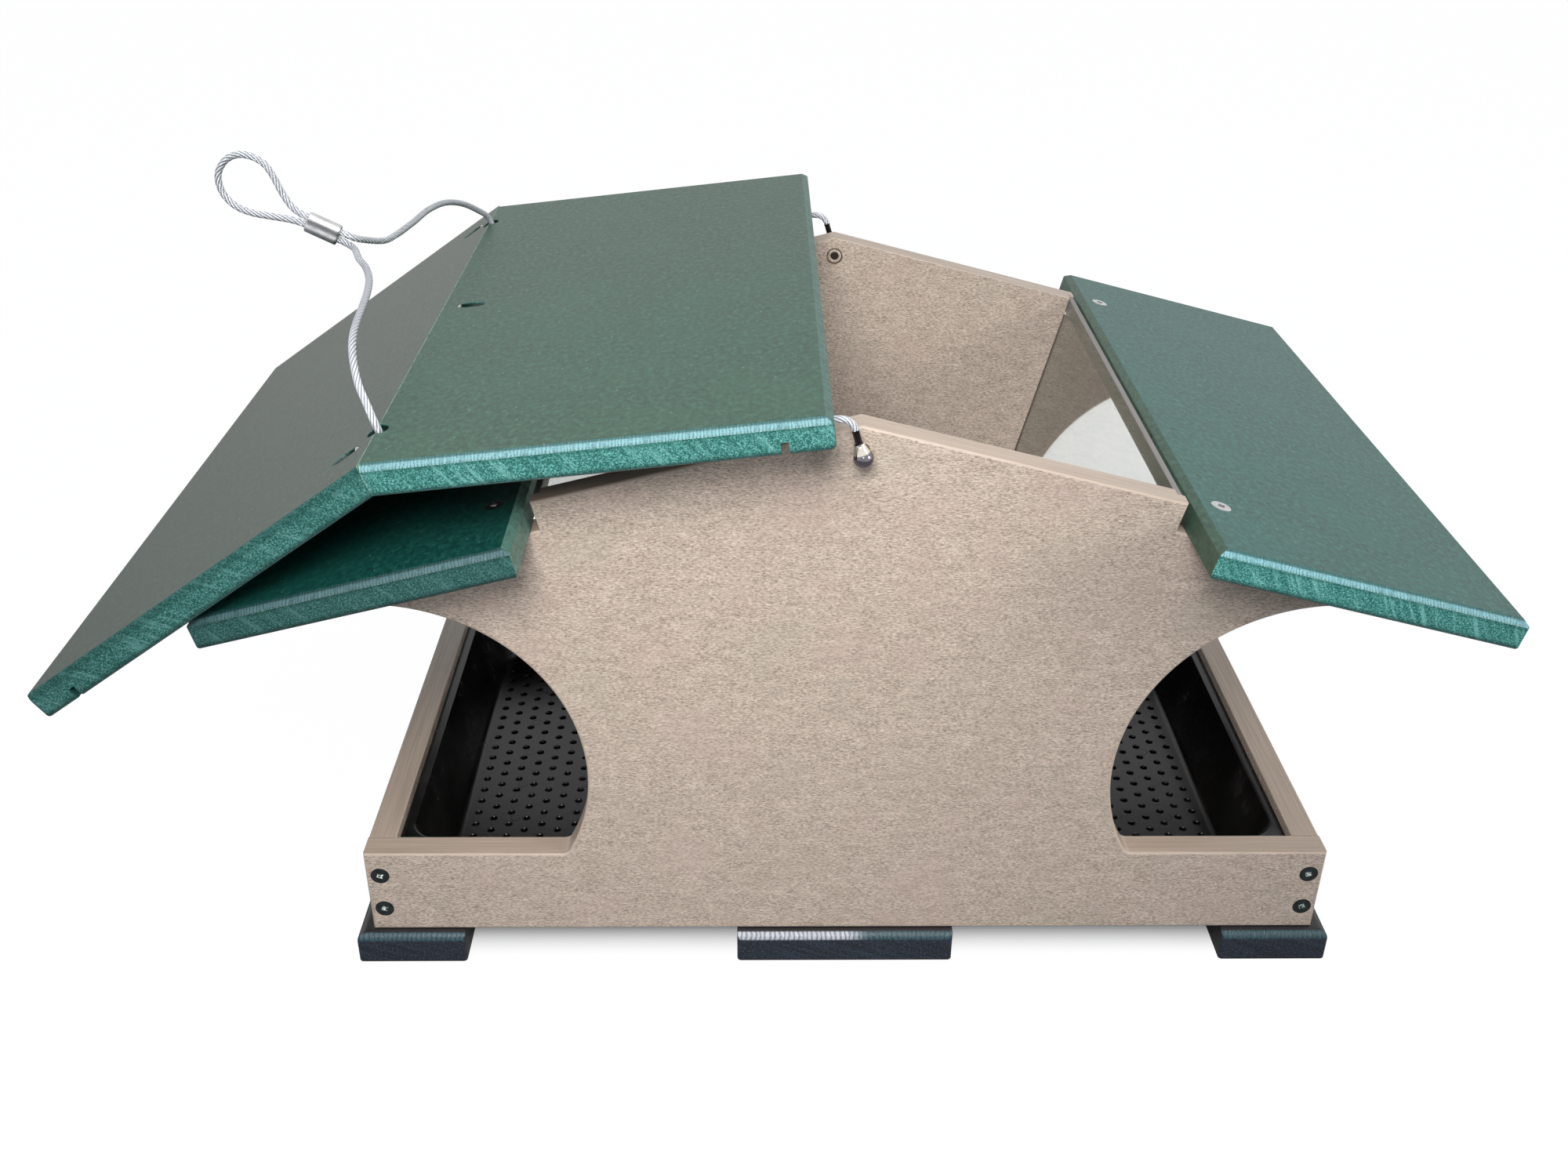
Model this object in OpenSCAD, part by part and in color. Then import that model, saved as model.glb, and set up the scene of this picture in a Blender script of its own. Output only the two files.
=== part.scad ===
// Hopper bird feeder in recycled plastic lumber, its roof cap slid up its cable and laid to the left.
// X runs along the end panels, Y from the front panel to the back one, Z up from the floor.
// The origin is on the floor, under the middle of the base.

/* [End panels] */
// Width of an end panel
base_w = 436; // [400:1:480]
// Depth of the base, from the front panel's face to the back panel's face
body_d = 266; // [250:1:272]
// Thickness of the boards
board_t = 12.7; // [12:0.1:14]
// Height of the end panel from its lower edge to its peak
peak_h = 252; // [248:1:262]
// Half width of the gable between its two notches
gable_half = 131; // [124:1:136]
// Pitch of the roof in degrees
roof_pitch = 14.2; // [13.6:0.1:15]
// Height of the low rails below the arches
rail_h = 43.5; // [40:0.5:52]
// Radius of the arch cut from each side of a panel
arch_r = 86; // [76:0.5:90]
// Distance of the arch's centre from the middle of the panel
arch_x = 201; // [196:0.5:210]
// Height of the arch's centre above the panel's lower edge
arch_z = 86; // [80:0.5:92]

/* [Base] */
// Thickness of the three runners
runner_t = 16; // [12:0.5:22]
// Width of an outer runner
side_runner_w = 50; // [40:1:60]
// Width of the middle runner
centre_runner_w = 100; // [70:1:130]
// How far the runners stand out past the panels at the front and the back
runner_out = 4.7; // [4:0.1:10]
// How far the outer runners stand out past the panels' sides
runner_side_out = 7.5; // [4:0.1:12]
// Bevel on the upper edges of the runners
runner_bevel = 3.2; // [1:0.1:3.8]

/* [Tray] */
// Thickness of the tray's moulded wall
tray_wall = 2.2; // [1.6:0.1:3]
// Width of the tray's flat rim
tray_rim = 5; // [4:0.1:7]
// Depth of the tray from its rim down to its floor
tray_depth = 37; // [25:0.5:38]
// How much each tray wall leans in on its way down
tray_lean = 10; // [4:0.5:14]
// Corner radius of the tray
tray_corner_r = 12; // [8:0.5:20]
// Diameter of the drain holes
drain_d = 3.6; // [2.5:0.1:4.5]
// Distance between neighbouring drain holes, which are every second one of the moulded tray's
drain_pitch = 19.2; // [14:0.1:30]
// Plain border round the drain holes
drain_border = 9; // [5:0.5:20]

/* [Windows] */
// Thickness of the clear windows
window_t = 3; // [2:0.1:4]
// Depth of the grooves that hold them
groove_d = 5; // [3:0.1:7]
// Length of the windows down the slope
window_len = 178; // [150:1:180]
// How far the windows' top edges lie below the gable's slope
window_drop = 0.8; // [0.4:0.1:3]

/* [Roof] */
// Width of an eave board along the slope
eave_w = 130; // [124:1:136]
// Space between a gable's notch and its eave board
eave_gap = 3.4; // [2:0.1:6]
// How far the eave boards stand out past each panel
eave_out = 38; // [34:1:50]
// Width of a cap board along the slope
cap_w = 172.5; // [168:0.5:180]
// Length of the cap boards
cap_len = 350; // [340:1:380]
// Bevel on the roof boards' upper edges
board_bevel = 2.2; // [1:0.1:3.5]
// Width of the drip groove under a cap board
drip_w = 3; // [2:0.1:5]
// Depth of the drip groove
drip_d = 5; // [3:0.1:7]
// Distance of the drip groove from the cap board's outer edge
drip_in = 18.4; // [14:0.1:26]

/* [Cap as it lies] */
// How far the ridge lies to the left of the peak
cap_shift = 185; // [182:0.5:187]
// Tilt of the cap in degrees
cap_tilt = 20.7; // [20:0.1:21.2]

/* [Hanger] */
// Diameter of the steel cable
cable_d = 3; // [2.4:0.1:3.4]
// Distance of the cable's holes and anchors outside the end panels' faces
anchor_out = 8; // [7.5:0.1:9]
// Diameter of the cable holes in the ridge
hole_d = 9; // [8:0.1:11]
// Depth of the cable's anchors below the peak
anchor_drop = 10; // [9:0.5:12]
// Diameter of the chrome ball at each anchor
ball_d = 8; // [7:0.1:9]
// Diameter of the sleeve crimped on each cable end
sleeve_d = 5; // [4.6:0.1:6]
// Distance from the ball's centre to the sleeve's mouth
sleeve_reach = 12.2; // [11.5:0.1:13]
// Length of the ferrule
ferrule_len = 14.5; // [12:0.5:16]
// Width of the ferrule across its two cables
ferrule_w = 9.4; // [8.6:0.1:11]
// Thickness of the ferrule
ferrule_t = 6.2; // [5.6:0.1:7]

/* [Screws] */
// Diameter of a flat screw head
head_d = 8.6; // [7:0.1:10]
// Diameter of a screw's shank
shank_d = 4; // [3:0.1:4.5]
// Width of the square drive in a screw head
drive_w = 2.4; // [1.8:0.1:3]
// Length of the rail screws
rail_screw_len = 38; // [25:1:50]
// Length of the eave screws
eave_screw_len = 32; // [22:1:40]
// Length of the runner screws
runner_screw_len = 34; // [28:1:38]
// Diameter of a ridge screw's round head
ridge_head_d = 6.2; // [5.5:0.1:7]
// Length of the ridge screws
ridge_screw_len = 38; // [28:1:45]
// Distance of the outer ridge screws past the cable holes
ridge_screw_out = 8; // [7.5:0.5:15]
// Height of the lower rail screws above the panel's lower edge
rail_screw_low = 12; // [10:0.5:14]
// Height of the upper rail screws above the panel's lower edge
rail_screw_high = 31; // [26:0.5:34]
// Distance of the eave screws from the eave board's inner edge
eave_screw_in = 12; // [10:0.5:20]

/* [Hidden] */
$fn = 48;

// Clearances between pieces
fit_gap = 0.2;
rest_gap = 0.3;
screw_gap = 0.05;
// Length that a cut runs past the face that it opens
past = 1;
// Thickness of the slices that a blended body is drawn between
slice = 0.01;

// Colours
tan_board = [0.76, 0.70, 0.62];
green_board = [0.16, 0.38, 0.31];
black_board = [0.12, 0.13, 0.14];
black_tray = [0.06, 0.06, 0.07];
clear_sheet = [0.85, 0.90, 0.92, 0.35];
steel = [0.72, 0.73, 0.74];
dark_steel = [0.27, 0.28, 0.30];

// Levels and places worked out from the sizes above
base_z = runner_t;
peak_z = base_z + peak_h;
half_w = base_w / 2;
half_d = body_d / 2;
inner_y = half_d - board_t;
inner_x = half_w - board_t;
slope_drop = board_t / cos(roof_pitch);
gable_s = gable_half / cos(roof_pitch);
eave_s = gable_s + eave_gap;
eave_end_s = eave_s + eave_w;
eave_len = body_d + 2 * eave_out;
window_s = gable_s - window_t;
window_w = 2 * (inner_y + groove_d - fit_gap);
runner_len = body_d + 2 * runner_out;
hole_y = half_d + anchor_out;
ridge_screw_y = hole_y + ridge_screw_out;
runner_x = half_w + runner_side_out - side_runner_w / 2;

// The tray's outline at its rim, at its mouth inside the rim, and at its floor
rim_size = [2 * (inner_x - fit_gap), 2 * (inner_y - fit_gap)];
mouth_size = rim_size - 2 * tray_rim * [1, 1];
floor_size = mouth_size - 2 * tray_lean * [1, 1];
drain_size = floor_size - 2 * drain_border * [1, 1];
floor_z = base_z + tray_wall;
rim_z = floor_z + tray_depth;

// The cap's left board rests on the upper outer edge of the left eave board.
rest_slope = roof_pitch + cap_tilt;
eave_edge = [-(eave_end_s - board_bevel) * cos(roof_pitch), peak_z - (eave_end_s - board_bevel) * sin(roof_pitch)];
cap_z = eave_edge[1] + slope_drop * cos(cap_tilt)
    + (rest_gap + (-cap_shift + slope_drop * sin(cap_tilt) - eave_edge[0]) * sin(rest_slope))
    / cos(rest_slope);

// Places of the screws
rail_screw_z = [base_z + rail_screw_low, base_z + rail_screw_high];
rail_screw_x = inner_x + board_t / 2;
eave_screw_s = eave_s + eave_screw_in;
panel_mid_y = half_d - board_t / 2;
runner_screw_sink = 0.6;
// A ridge screw runs along the middle of the opposite board and is sunk in a pocket.
ridge_head_h = 2.4;
ridge_head_s = 7;
pocket_len = 20;

// Anchor of a cable end
anchor_z = peak_z - anchor_drop;
bolt_d = 4;
bolt_in_ball = 1.2;
shoulder_d = 6;
nut_d = 8.1;
nut_h = 3.2;
nut_recess = 4;
collar_d = 5.8;
collar_h = 2.4;
sleeve_lean = 17;

// A strand starts and ends square to what holds it: a gap, and then a straight lead.
strand_gap = 0.1;
sleeve_lead = 1.2;
ferrule_lead = 2;

// Ferrule: its middle, the lean of its long axis, and the offset of its two cables
ferrule_at = [-232, -10, 309];
ferrule_lean = 26;
ferrule_along = [-cos(ferrule_lean), 0, sin(ferrule_lean)];
ferrule_across = [sin(ferrule_lean), 0, cos(ferrule_lean)];
cable_split = cable_d / 2 + 0.25;
function in_ferrule(end, bore) = ferrule_at + end * ferrule_len / 2 * ferrule_along
    + bore * cable_split * ferrule_across;
function below_ferrule(far, bore) = in_ferrule(-1, bore) - far * ferrule_along;
function past_sleeve(side, far) = [-(sleeve_reach + far) * sin(sleeve_lean), side * hole_y,
    anchor_z + (sleeve_reach + far) * cos(sleeve_lean)];

// Points on the cable's centre line under the cap, as X and Z, the same at the front and the back
under_cap = [[-5.2, 272.6], [-7.2, 273.9], [-9.5, 274.3], [-14, 274.1], [-22, 273.2],
    [-40, 270.6], [-62, 267], [-86, 263], [-110, 258.3], [-134, 252.5], [-154, 247.8], [-165, 246],
    [-172, 246.5], [-176, 249], [-178.5, 253.3], [-182, 262.3]];
// Points on the two strands above the cap, up to the ferrule
front_rise = [[-185.5, -140.7, 272], [-188.5, -138, 279], [-191.5, -134, 284.5], [-194.5, -126, 290.5],
    [-197, -115, 294.5], [-198.5, -101, 297], [-199, -87, 299], [-200, -72, 300.5], [-202.5, -57, 301.5],
    [-207, -43, 302], [-212.5, -31, 302], [-217.9, -15.3, 301.3], [-219.4, -12.7, 301.5],
    [-221.7, -10.9, 302.2]];
back_rise = [[-185.5, 140.7, 272], [-190, 134, 278], [-195, 122, 284.5], [-200, 104, 290],
    [-204, 80, 293], [-207, 54, 293.6], [-210, 30, 294.6], [-212, 14, 296.6], [-217, -4.8, 302.6],
    [-218.2, -7.3, 303.7], [-220.3, -9.1, 305]];
// Points on the loop above the ferrule, as X and Z
loop_bend = [[-240.4, 315.2], [-243.8, 318], [-246.4, 322], [-248.6, 327], [-250.5, 332], [-253.5, 337],
    [-258, 340], [-264, 341], [-270, 338.5], [-274, 332.5], [-273.5, 325], [-269, 319],
    [-262, 315.8], [-254, 314.3], [-246.5, 313], [-242, 311.8]];

function strand_route(side, rise, bore) = concat(
    [past_sleeve(side, strand_gap), past_sleeve(side, sleeve_lead)],
    [for (p = under_cap) [p[0], side * hole_y, p[1]]], rise,
    [below_ferrule(ferrule_lead, bore), below_ferrule(strand_gap, bore)]);
front_route = strand_route(-1, front_rise, -1);
back_route = strand_route(1, back_rise, 1);
loop_route = concat([in_ferrule(-1, 1), in_ferrule(1, 1)],
    [for (p = loop_bend) [p[0], ferrule_at[1], p[1]]], [in_ferrule(1, -1), in_ferrule(-1, -1)]);

// Directions along a route, and a direction square to each that turns as little as it can
function unit(v) = v / norm(v);
function heading(route, i) = unit(route[min(i + 1, len(route) - 1)] - route[max(i - 1, 0)]);
function square_to(v, along) = unit(v - (v * along) * along);
function carried(route, i) = i == 0 ? square_to([0.2, 1, 0.1], heading(route, 0))
    : square_to(carried(route, i - 1), heading(route, i));

// Tube swept along a route's points, with a ring of eight corners at each
module tube(route, d) {
    sides = 8;
    rings = len(route);
    points = [for (i = [0:rings - 1])
        let (along = heading(route, i), u = carried(route, i), v = cross(along, u))
        for (k = [0:sides - 1]) route[i] + d / 2 * (cos(k * 360 / sides) * u + sin(k * 360 / sides) * v)];
    walls = [for (i = [0:rings - 2]) for (k = [0:sides - 1])
        let (a = i * sides + k, b = i * sides + (k + 1) % sides)
        each [[a, a + sides, b], [b, a + sides, b + sides]]];
    first = [for (k = [0:sides - 1]) k];
    last = [for (k = [sides - 1:-1:0]) (rings - 1) * sides + k];
    polyhedron(points, concat(walls, [first, last]));
}

// Places a child that is drawn on a slope, with X down the slope and Z square to it
module on_slope(side) {
    mirror([side < 0 ? 1 : 0, 0, 0])
    translate([0, 0, peak_z])
    rotate([0, roof_pitch, 0])
    children();
}

// Places a child that is drawn on a cap board, with the ridge along Y at the origin
module on_cap(side) {
    translate([-cap_shift, 0, cap_z])
    rotate([0, -cap_tilt, 0])
    mirror([side < 0 ? 1 : 0, 0, 0])
    rotate([0, roof_pitch, 0])
    children();
}

// Flat-head screw along -Z with its head's face at the origin
module screw(len) {
    difference() {
        screw_body(len, 0);
        translate([0, 0, -1.6])
        linear_extrude(1.6 + past)
        square(drive_w, center = true);
    }
}

// Body of a flat-head screw, grown by a clearance
module screw_body(len, grow) {
    head_h = (head_d - shank_d) / 2;
    translate([0, 0, -head_h])
    cylinder(h = head_h, d1 = shank_d + 2 * grow, d2 = head_d + 2 * grow);
    translate([0, 0, -len - grow])
    cylinder(h = len + grow, d = shank_d + 2 * grow);
}

// Hole for that screw, opened past its mouth
module screw_hole(len) {
    screw_body(len, screw_gap);
    cylinder(h = past, d = head_d + 2 * screw_gap);
}

// Outline of an end panel, with X across it and Y up from its lower edge
module panel_outline() {
    wing_z = peak_h - slope_drop - half_w * tan(roof_pitch);
    gable_z = peak_h - gable_half * tan(roof_pitch);
    notch = [gable_half - board_t * sin(roof_pitch), gable_z - board_t * cos(roof_pitch)];
    difference() {
        polygon([[-half_w, 0], [half_w, 0], [half_w, wing_z], notch, [gable_half, gable_z],
            [0, peak_h], [-gable_half, gable_z], [-notch[0], notch[1]], [-half_w, wing_z]]);
        for (side = [-1, 1])
            intersection() {
                translate([side * arch_x, arch_z])
                circle(r = arch_r, $fn = 96);
                translate([-base_w, rail_h])
                square([2 * base_w, peak_h]);
            }
    }
}

// Places of the rail screws on the outside of one end panel
module at_rail_screws(side) {
    for (x = [-rail_screw_x, rail_screw_x])
        for (z = rail_screw_z)
            translate([x, side * half_d, z])
            rotate([-90 * side, 0, 0])
            children();
}

// Places of the eave screws on one eave board, over the middle of each panel
module at_eave_screws(side) {
    for (y = [-panel_mid_y, panel_mid_y])
        on_slope(side)
        translate([eave_screw_s, y, 0])
        children();
}

// Places of one runner's screws, which go up into both end panels
module at_runner_screws(x) {
    for (y = [-panel_mid_y, panel_mid_y])
        translate([x, y, runner_screw_sink])
        rotate([180, 0, 0])
        children();
}

// Places of the ridge screws: two go in through the left board and one through the right board
module at_ridge_screws() {
    for (place = [[1, -ridge_screw_y], [1, ridge_screw_y], [-1, 0]])
        on_cap(place[0])
        translate([-ridge_head_s, place[1], -board_t / 2])
        rotate([0, -90, 0])
        children();
}

// Front or back end panel, with its window grooves, screw holes and anchor hole
module end_panel(side) {
    groove_y = side < 0 ? -inner_y - groove_d : inner_y - past;
    color(tan_board)
    difference() {
        translate([0, side < 0 ? -inner_y : half_d, base_z])
        rotate([90, 0, 0])
        linear_extrude(board_t)
        panel_outline();
        for (slope = [-1, 1])
            on_slope(slope)
            translate([window_s - fit_gap, groove_y, -window_drop - window_len - fit_gap])
            cube([window_t + 2 * fit_gap, groove_d + past, window_len + 2 * board_t]);
        at_rail_screws(side)
        screw_hole(rail_screw_len);
        for (slope = [-1, 1])
            at_eave_screws(slope)
            screw_hole(eave_screw_len);
        for (x = [-runner_x, 0, runner_x])
            at_runner_screws(x)
            screw_hole(runner_screw_len);
        translate([0, side * half_d, anchor_z])
        rotate([90, 0, 0])
        cylinder(h = 2 * body_d, d = bolt_d + 2 * screw_gap, center = true);
        translate([0, side * (inner_y + (nut_recess - past) / 2), anchor_z])
        rotate([90, 0, 0])
        cylinder(h = nut_recess + past, d = nut_d + 2 * fit_gap, center = true);
    }
}

// Side rail between the two end panels
module side_rail(side) {
    color(tan_board)
    difference() {
        translate([side * rail_screw_x - board_t / 2, -inner_y, base_z])
        cube([board_t, 2 * inner_y, rail_h]);
        for (end = [-1, 1])
            at_rail_screws(end)
            screw_hole(rail_screw_len);
    }
}

// Rectangle with round corners, centred on the origin
module round_rect(size, r) {
    square([size[0] - 2 * r, size[1]], center = true);
    square([size[0], size[1] - 2 * r], center = true);
    for (x = [-1, 1])
        for (y = [-1, 1])
            translate([x * (size[0] / 2 - r), y * (size[1] / 2 - r)])
            circle(r = r);
}

// Drain holes, in rows along Y that stand half a pitch apart
module drain_holes() {
    row_step = drain_pitch * cos(30);
    rows = floor(drain_size[0] / 2 / row_step);
    in_row = ceil(drain_size[1] / 2 / drain_pitch);
    for (i = [-rows:rows])
        for (j = [-in_row:in_row])
            let (y = (j + (i % 2 == 0 ? 0 : 0.5)) * drain_pitch)
            if (abs(y) <= drain_size[1] / 2)
                translate([i * row_step, y])
                circle(d = drain_d, $fn = 16);
}

// Body that widens from the tray's floor to its mouth, a wall's thickness larger where out is 1
module tray_body(out, low) {
    grow = 2 * out * tray_wall * [1, 1];
    r = tray_corner_r + out * tray_wall;
    hull() {
        translate([0, 0, low])
        linear_extrude(slice)
        round_rect(floor_size + grow, r, $fn = 24);
        translate([0, 0, rim_z - slice])
        linear_extrude(slice)
        round_rect(mouth_size + grow, r, $fn = 24);
    }
}

// Moulded tray: a flat rim, walls that lean in, and a floor with drain holes
module tray() {
    color(black_tray) {
        difference() {
            union() {
                tray_body(1, base_z);
                translate([0, 0, rim_z - tray_wall])
                linear_extrude(tray_wall)
                round_rect(rim_size, tray_rim / 2);
            }
            tray_body(0, floor_z);
            translate([0, 0, rim_z - 2 * slice])
            linear_extrude(past)
            round_rect(mouth_size, tray_corner_r);
            translate([0, 0, base_z - past])
            linear_extrude(tray_wall + 2 * past)
            drain_holes();
        }
    }
}

// Clear window that stands in the two panels' grooves, square to the roof's slope
module window(side) {
    color(clear_sheet)
    on_slope(side)
    translate([window_s, -window_w / 2, -window_drop - window_len])
    cube([window_t, window_w, window_len]);
}

// Board under Z = 0 from X = a to X = b, with a bevel along its upper edges
module bevelled_board(a, b, len, t, bevel) {
    intersection() {
        rotate([90, 0, 0])
        linear_extrude(len, center = true)
        polygon([[a, -t], [b, -t], [b, -bevel], [b - bevel, 0], [a + bevel, 0], [a, -bevel]]);
        rotate([90, 0, 90])
        translate([0, 0, a - past])
        linear_extrude(b - a + 2 * past)
        polygon([[-len / 2, -t], [len / 2, -t], [len / 2, -bevel], [len / 2 - bevel, 0],
            [bevel - len / 2, 0], [-len / 2, -bevel]]);
    }
}

// Eave board on one side of the roof
module eave(side) {
    color(green_board)
    difference() {
        on_slope(side)
        bevelled_board(eave_s, eave_end_s, eave_len, board_t, board_bevel);
        at_eave_screws(side)
        screw_hole(eave_screw_len);
    }
}

// Cap board on one side of the ridge, mitred against the other board
module cap_board(side) {
    color(green_board)
    difference() {
        on_cap(side)
        difference() {
            bevelled_board(-2 * board_t, cap_w, cap_len, board_t, board_bevel);
            translate([cap_w - drip_in - drip_w / 2, -cap_len, -board_t - past])
            cube([drip_w, 2 * cap_len, drip_d + past]);
            rotate([0, -roof_pitch, 0])
            translate([-cap_w, -cap_len, -cap_w])
            cube([cap_w, 2 * cap_len, 2 * cap_w]);
        }
        for (y = [-hole_y, hole_y])
            translate([-cap_shift, y, cap_z])
            rotate([0, -cap_tilt, 0])
            cylinder(h = 4 * board_t, d = hole_d, center = true);
        at_ridge_screws()
        ridge_hole();
    }
}

// Round-head screw along -Z with its head's face at the origin
module ridge_screw() {
    difference() {
        union() {
            translate([0, 0, -ridge_head_h])
            cylinder(h = ridge_head_h, d = ridge_head_d);
            translate([0, 0, -ridge_screw_len])
            cylinder(h = ridge_screw_len - slice, d = shank_d);
        }
        translate([0, 0, -1.4])
        linear_extrude(1.4 + past)
        square(drive_w, center = true);
    }
}

// Pocket and hole for that screw
module ridge_hole() {
    translate([0, 0, -ridge_head_h])
    cylinder(h = ridge_head_h + pocket_len, d = ridge_head_d + 2 * fit_gap);
    translate([0, 0, -ridge_screw_len - screw_gap])
    cylinder(h = ridge_screw_len, d = shank_d + 2 * screw_gap);
}

// Runner under the base, bevelled along its upper front, back and outer edges
module runner(x, w, outer) {
    a = outer > 0 ? -w / 2 - runner_bevel : -w / 2;
    b = outer < 0 ? w / 2 + runner_bevel : w / 2;
    color(black_board)
    difference() {
        intersection() {
            translate([x, 0, runner_t])
            bevelled_board(a, b, runner_len, runner_t, runner_bevel);
            translate([x - w / 2, -runner_len, 0])
            cube([w, 2 * runner_len, runner_t]);
        }
        at_runner_screws(x)
        screw_hole(runner_screw_len);
    }
}

// Ferrule pressed round the two cables
module ferrule() {
    color(steel)
    translate(ferrule_at)
    rotate([0, ferrule_lean - 90, 0])
    linear_extrude(ferrule_len, center = true)
    difference() {
        hull()
        for (x = [-1, 1])
            translate([x * (ferrule_w - ferrule_t) / 2, 0])
            circle(d = ferrule_t);
        for (x = [-1, 1])
            translate([x * cable_split, 0])
            circle(d = cable_d + 2 * screw_gap);
    }
}

// End of the cable: a ball on its anchor bolt, with a collar and a crimped sleeve
module cable_end(side) {
    color(dark_steel)
    translate([0, side * hole_y, anchor_z])
    difference() {
        union() {
            sphere(d = ball_d);
            rotate([0, -sleeve_lean, 0]) {
                cylinder(h = ball_d / 2 + collar_h, d = collar_d);
                cylinder(h = sleeve_reach, d = sleeve_d);
            }
        }
        rotate([90 * side, 0, 0])
        translate([0, 0, -bolt_in_ball])
        cylinder(h = ball_d, d = bolt_d + 2 * screw_gap);
    }
}

// Anchor bolts, each from its nut through a panel into the ball
module anchor_bolts() {
    bolt_in = inner_y + nut_recess - nut_h - screw_gap;
    color(steel)
    for (side = [-1, 1])
        translate([0, 0, anchor_z])
        rotate([-90 * side, 0, 0]) {
            translate([0, 0, bolt_in])
            cylinder(h = hole_y + bolt_in_ball - bolt_in, d = bolt_d);
            translate([0, 0, half_d])
            cylinder(h = hole_y - half_d - ball_d / 2 + screw_gap, d = shoulder_d);
        }
}

// Anchor nuts, sunk in the panels' inner faces
module anchor_nuts() {
    color(steel)
    for (side = [-1, 1])
        translate([0, side * (inner_y + nut_recess - nut_h / 2), anchor_z])
        rotate([90, 0, 0])
        difference() {
            cylinder(h = nut_h, d = nut_d, center = true, $fn = 6);
            cylinder(h = 2 * nut_h, d = bolt_d + 2 * screw_gap, center = true);
        }
}

end_panel(-1);  // front_panel
end_panel(1);  // back_panel
side_rail(-1);  // left_rail
side_rail(1);  // right_rail
tray();
window(-1);  // left_window
window(1);  // right_window
eave(-1);  // left_eave
eave(1);  // right_eave
cap_board(-1);  // cap_left_board
cap_board(1);  // cap_right_board
runner(-runner_x, side_runner_w, -1);  // left_runner
runner(0, centre_runner_w, 0);  // centre_runner
runner(runner_x, side_runner_w, 1);  // right_runner
color(steel) tube(front_route, cable_d);  // front_strand
color(steel) tube(back_route, cable_d);  // back_strand
color(steel) tube(loop_route, cable_d);  // cable_loop
ferrule();
cable_end(-1);  // front_cable_end
cable_end(1);  // back_cable_end
anchor_bolts();
anchor_nuts();
color(steel) at_ridge_screws() ridge_screw();  // ridge_screws
color(steel) at_eave_screws(-1) screw(eave_screw_len);  // left_eave_screws
color(steel) at_eave_screws(1) screw(eave_screw_len);  // right_eave_screws
color(dark_steel) at_rail_screws(-1) screw(rail_screw_len);  // front_rail_screws
color(dark_steel) at_rail_screws(1) screw(rail_screw_len);  // back_rail_screws
color(dark_steel) at_runner_screws(-runner_x) screw(runner_screw_len);  // left_runner_screws
color(dark_steel) at_runner_screws(0) screw(runner_screw_len);  // centre_runner_screws
color(dark_steel) at_runner_screws(runner_x) screw(runner_screw_len);  // right_runner_screws
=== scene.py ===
# %% [markdown]
# # Hopper bird feeder
# A bird feeder for seed, made from recycled plastic boards. Two tan end panels hold a black tray,
# two clear windows and a green roof, and a steel cable carries it all. The roof's cap lies slid to the
# left, as it does while somebody fills the feeder.
# The CAD model gives every place and size. This lesson makes the surfaces and finishes that a camera sees.

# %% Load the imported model
from functools import partial

import bmesh
import bpy
import numpy as np
from mathutils import Matrix, Vector
from mathutils.geometry import delaunay_2d_cdt


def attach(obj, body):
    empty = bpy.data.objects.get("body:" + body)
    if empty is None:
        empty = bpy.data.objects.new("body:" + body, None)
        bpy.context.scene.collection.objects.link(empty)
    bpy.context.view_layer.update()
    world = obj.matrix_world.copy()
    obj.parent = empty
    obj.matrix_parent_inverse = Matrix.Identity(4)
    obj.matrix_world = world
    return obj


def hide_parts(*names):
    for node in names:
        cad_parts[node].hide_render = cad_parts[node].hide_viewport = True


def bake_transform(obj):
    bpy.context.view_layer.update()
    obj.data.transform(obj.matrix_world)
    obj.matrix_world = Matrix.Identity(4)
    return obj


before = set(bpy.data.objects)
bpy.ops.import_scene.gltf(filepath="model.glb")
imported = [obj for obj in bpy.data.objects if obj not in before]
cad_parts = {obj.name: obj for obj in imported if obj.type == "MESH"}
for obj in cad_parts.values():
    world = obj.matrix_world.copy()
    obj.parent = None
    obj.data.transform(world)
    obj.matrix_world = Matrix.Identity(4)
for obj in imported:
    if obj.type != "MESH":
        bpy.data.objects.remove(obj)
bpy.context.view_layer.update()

# %% [markdown]
# ## Camera
# The photograph was taken from above and in front, a little to the left. A camera looks down its own
# -Z axis, so its axes are built from the direction it looks in, and a small roll turns them.

# %% Camera at the photograph's angle
IMAGE_WIDTH = 2000
FOCAL_PIXELS = 1966.9
YAW, PITCH, ROLL = np.radians([1.111, 29.04, 0.60])
CAMERA_AT = (-0.0406, -0.6828, 0.5019)


def placed(axes, place):
    """A matrix whose columns are three axes and a place."""
    matrix = np.eye(4)
    matrix[:3, :3] = np.stack(axes, axis=1)
    matrix[:3, 3] = place
    return Matrix(matrix.tolist())


def new_object(name, data):
    """An object in the scene, with its mesh, lamp or camera."""
    item = bpy.data.objects.new(name, data)
    bpy.context.scene.collection.objects.link(item)
    return item


forward = np.array([np.sin(YAW) * np.cos(PITCH), np.cos(YAW) * np.cos(PITCH), -np.sin(PITCH)])
level = np.array([np.cos(YAW), -np.sin(YAW), 0.0])
upright = np.cross(level, forward)
right = np.cos(ROLL) * level + np.sin(ROLL) * upright

camera_data = bpy.data.cameras.new("camera")
camera_data.sensor_width = 36.0
camera_data.lens = FOCAL_PIXELS / IMAGE_WIDTH * camera_data.sensor_width
camera = new_object("camera", camera_data)
camera.matrix_world = placed([right, np.cross(right, forward), -forward], CAMERA_AT)
bpy.context.scene.camera = camera
print("lens:", round(camera_data.lens, 2), "mm")

# %% [markdown]
# ## Sizes
# These repeat the values of the CAD source, in millimetres. Shapes are worked out in millimetres
# too, and turn into metres in one place, where a mesh is made.

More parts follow.
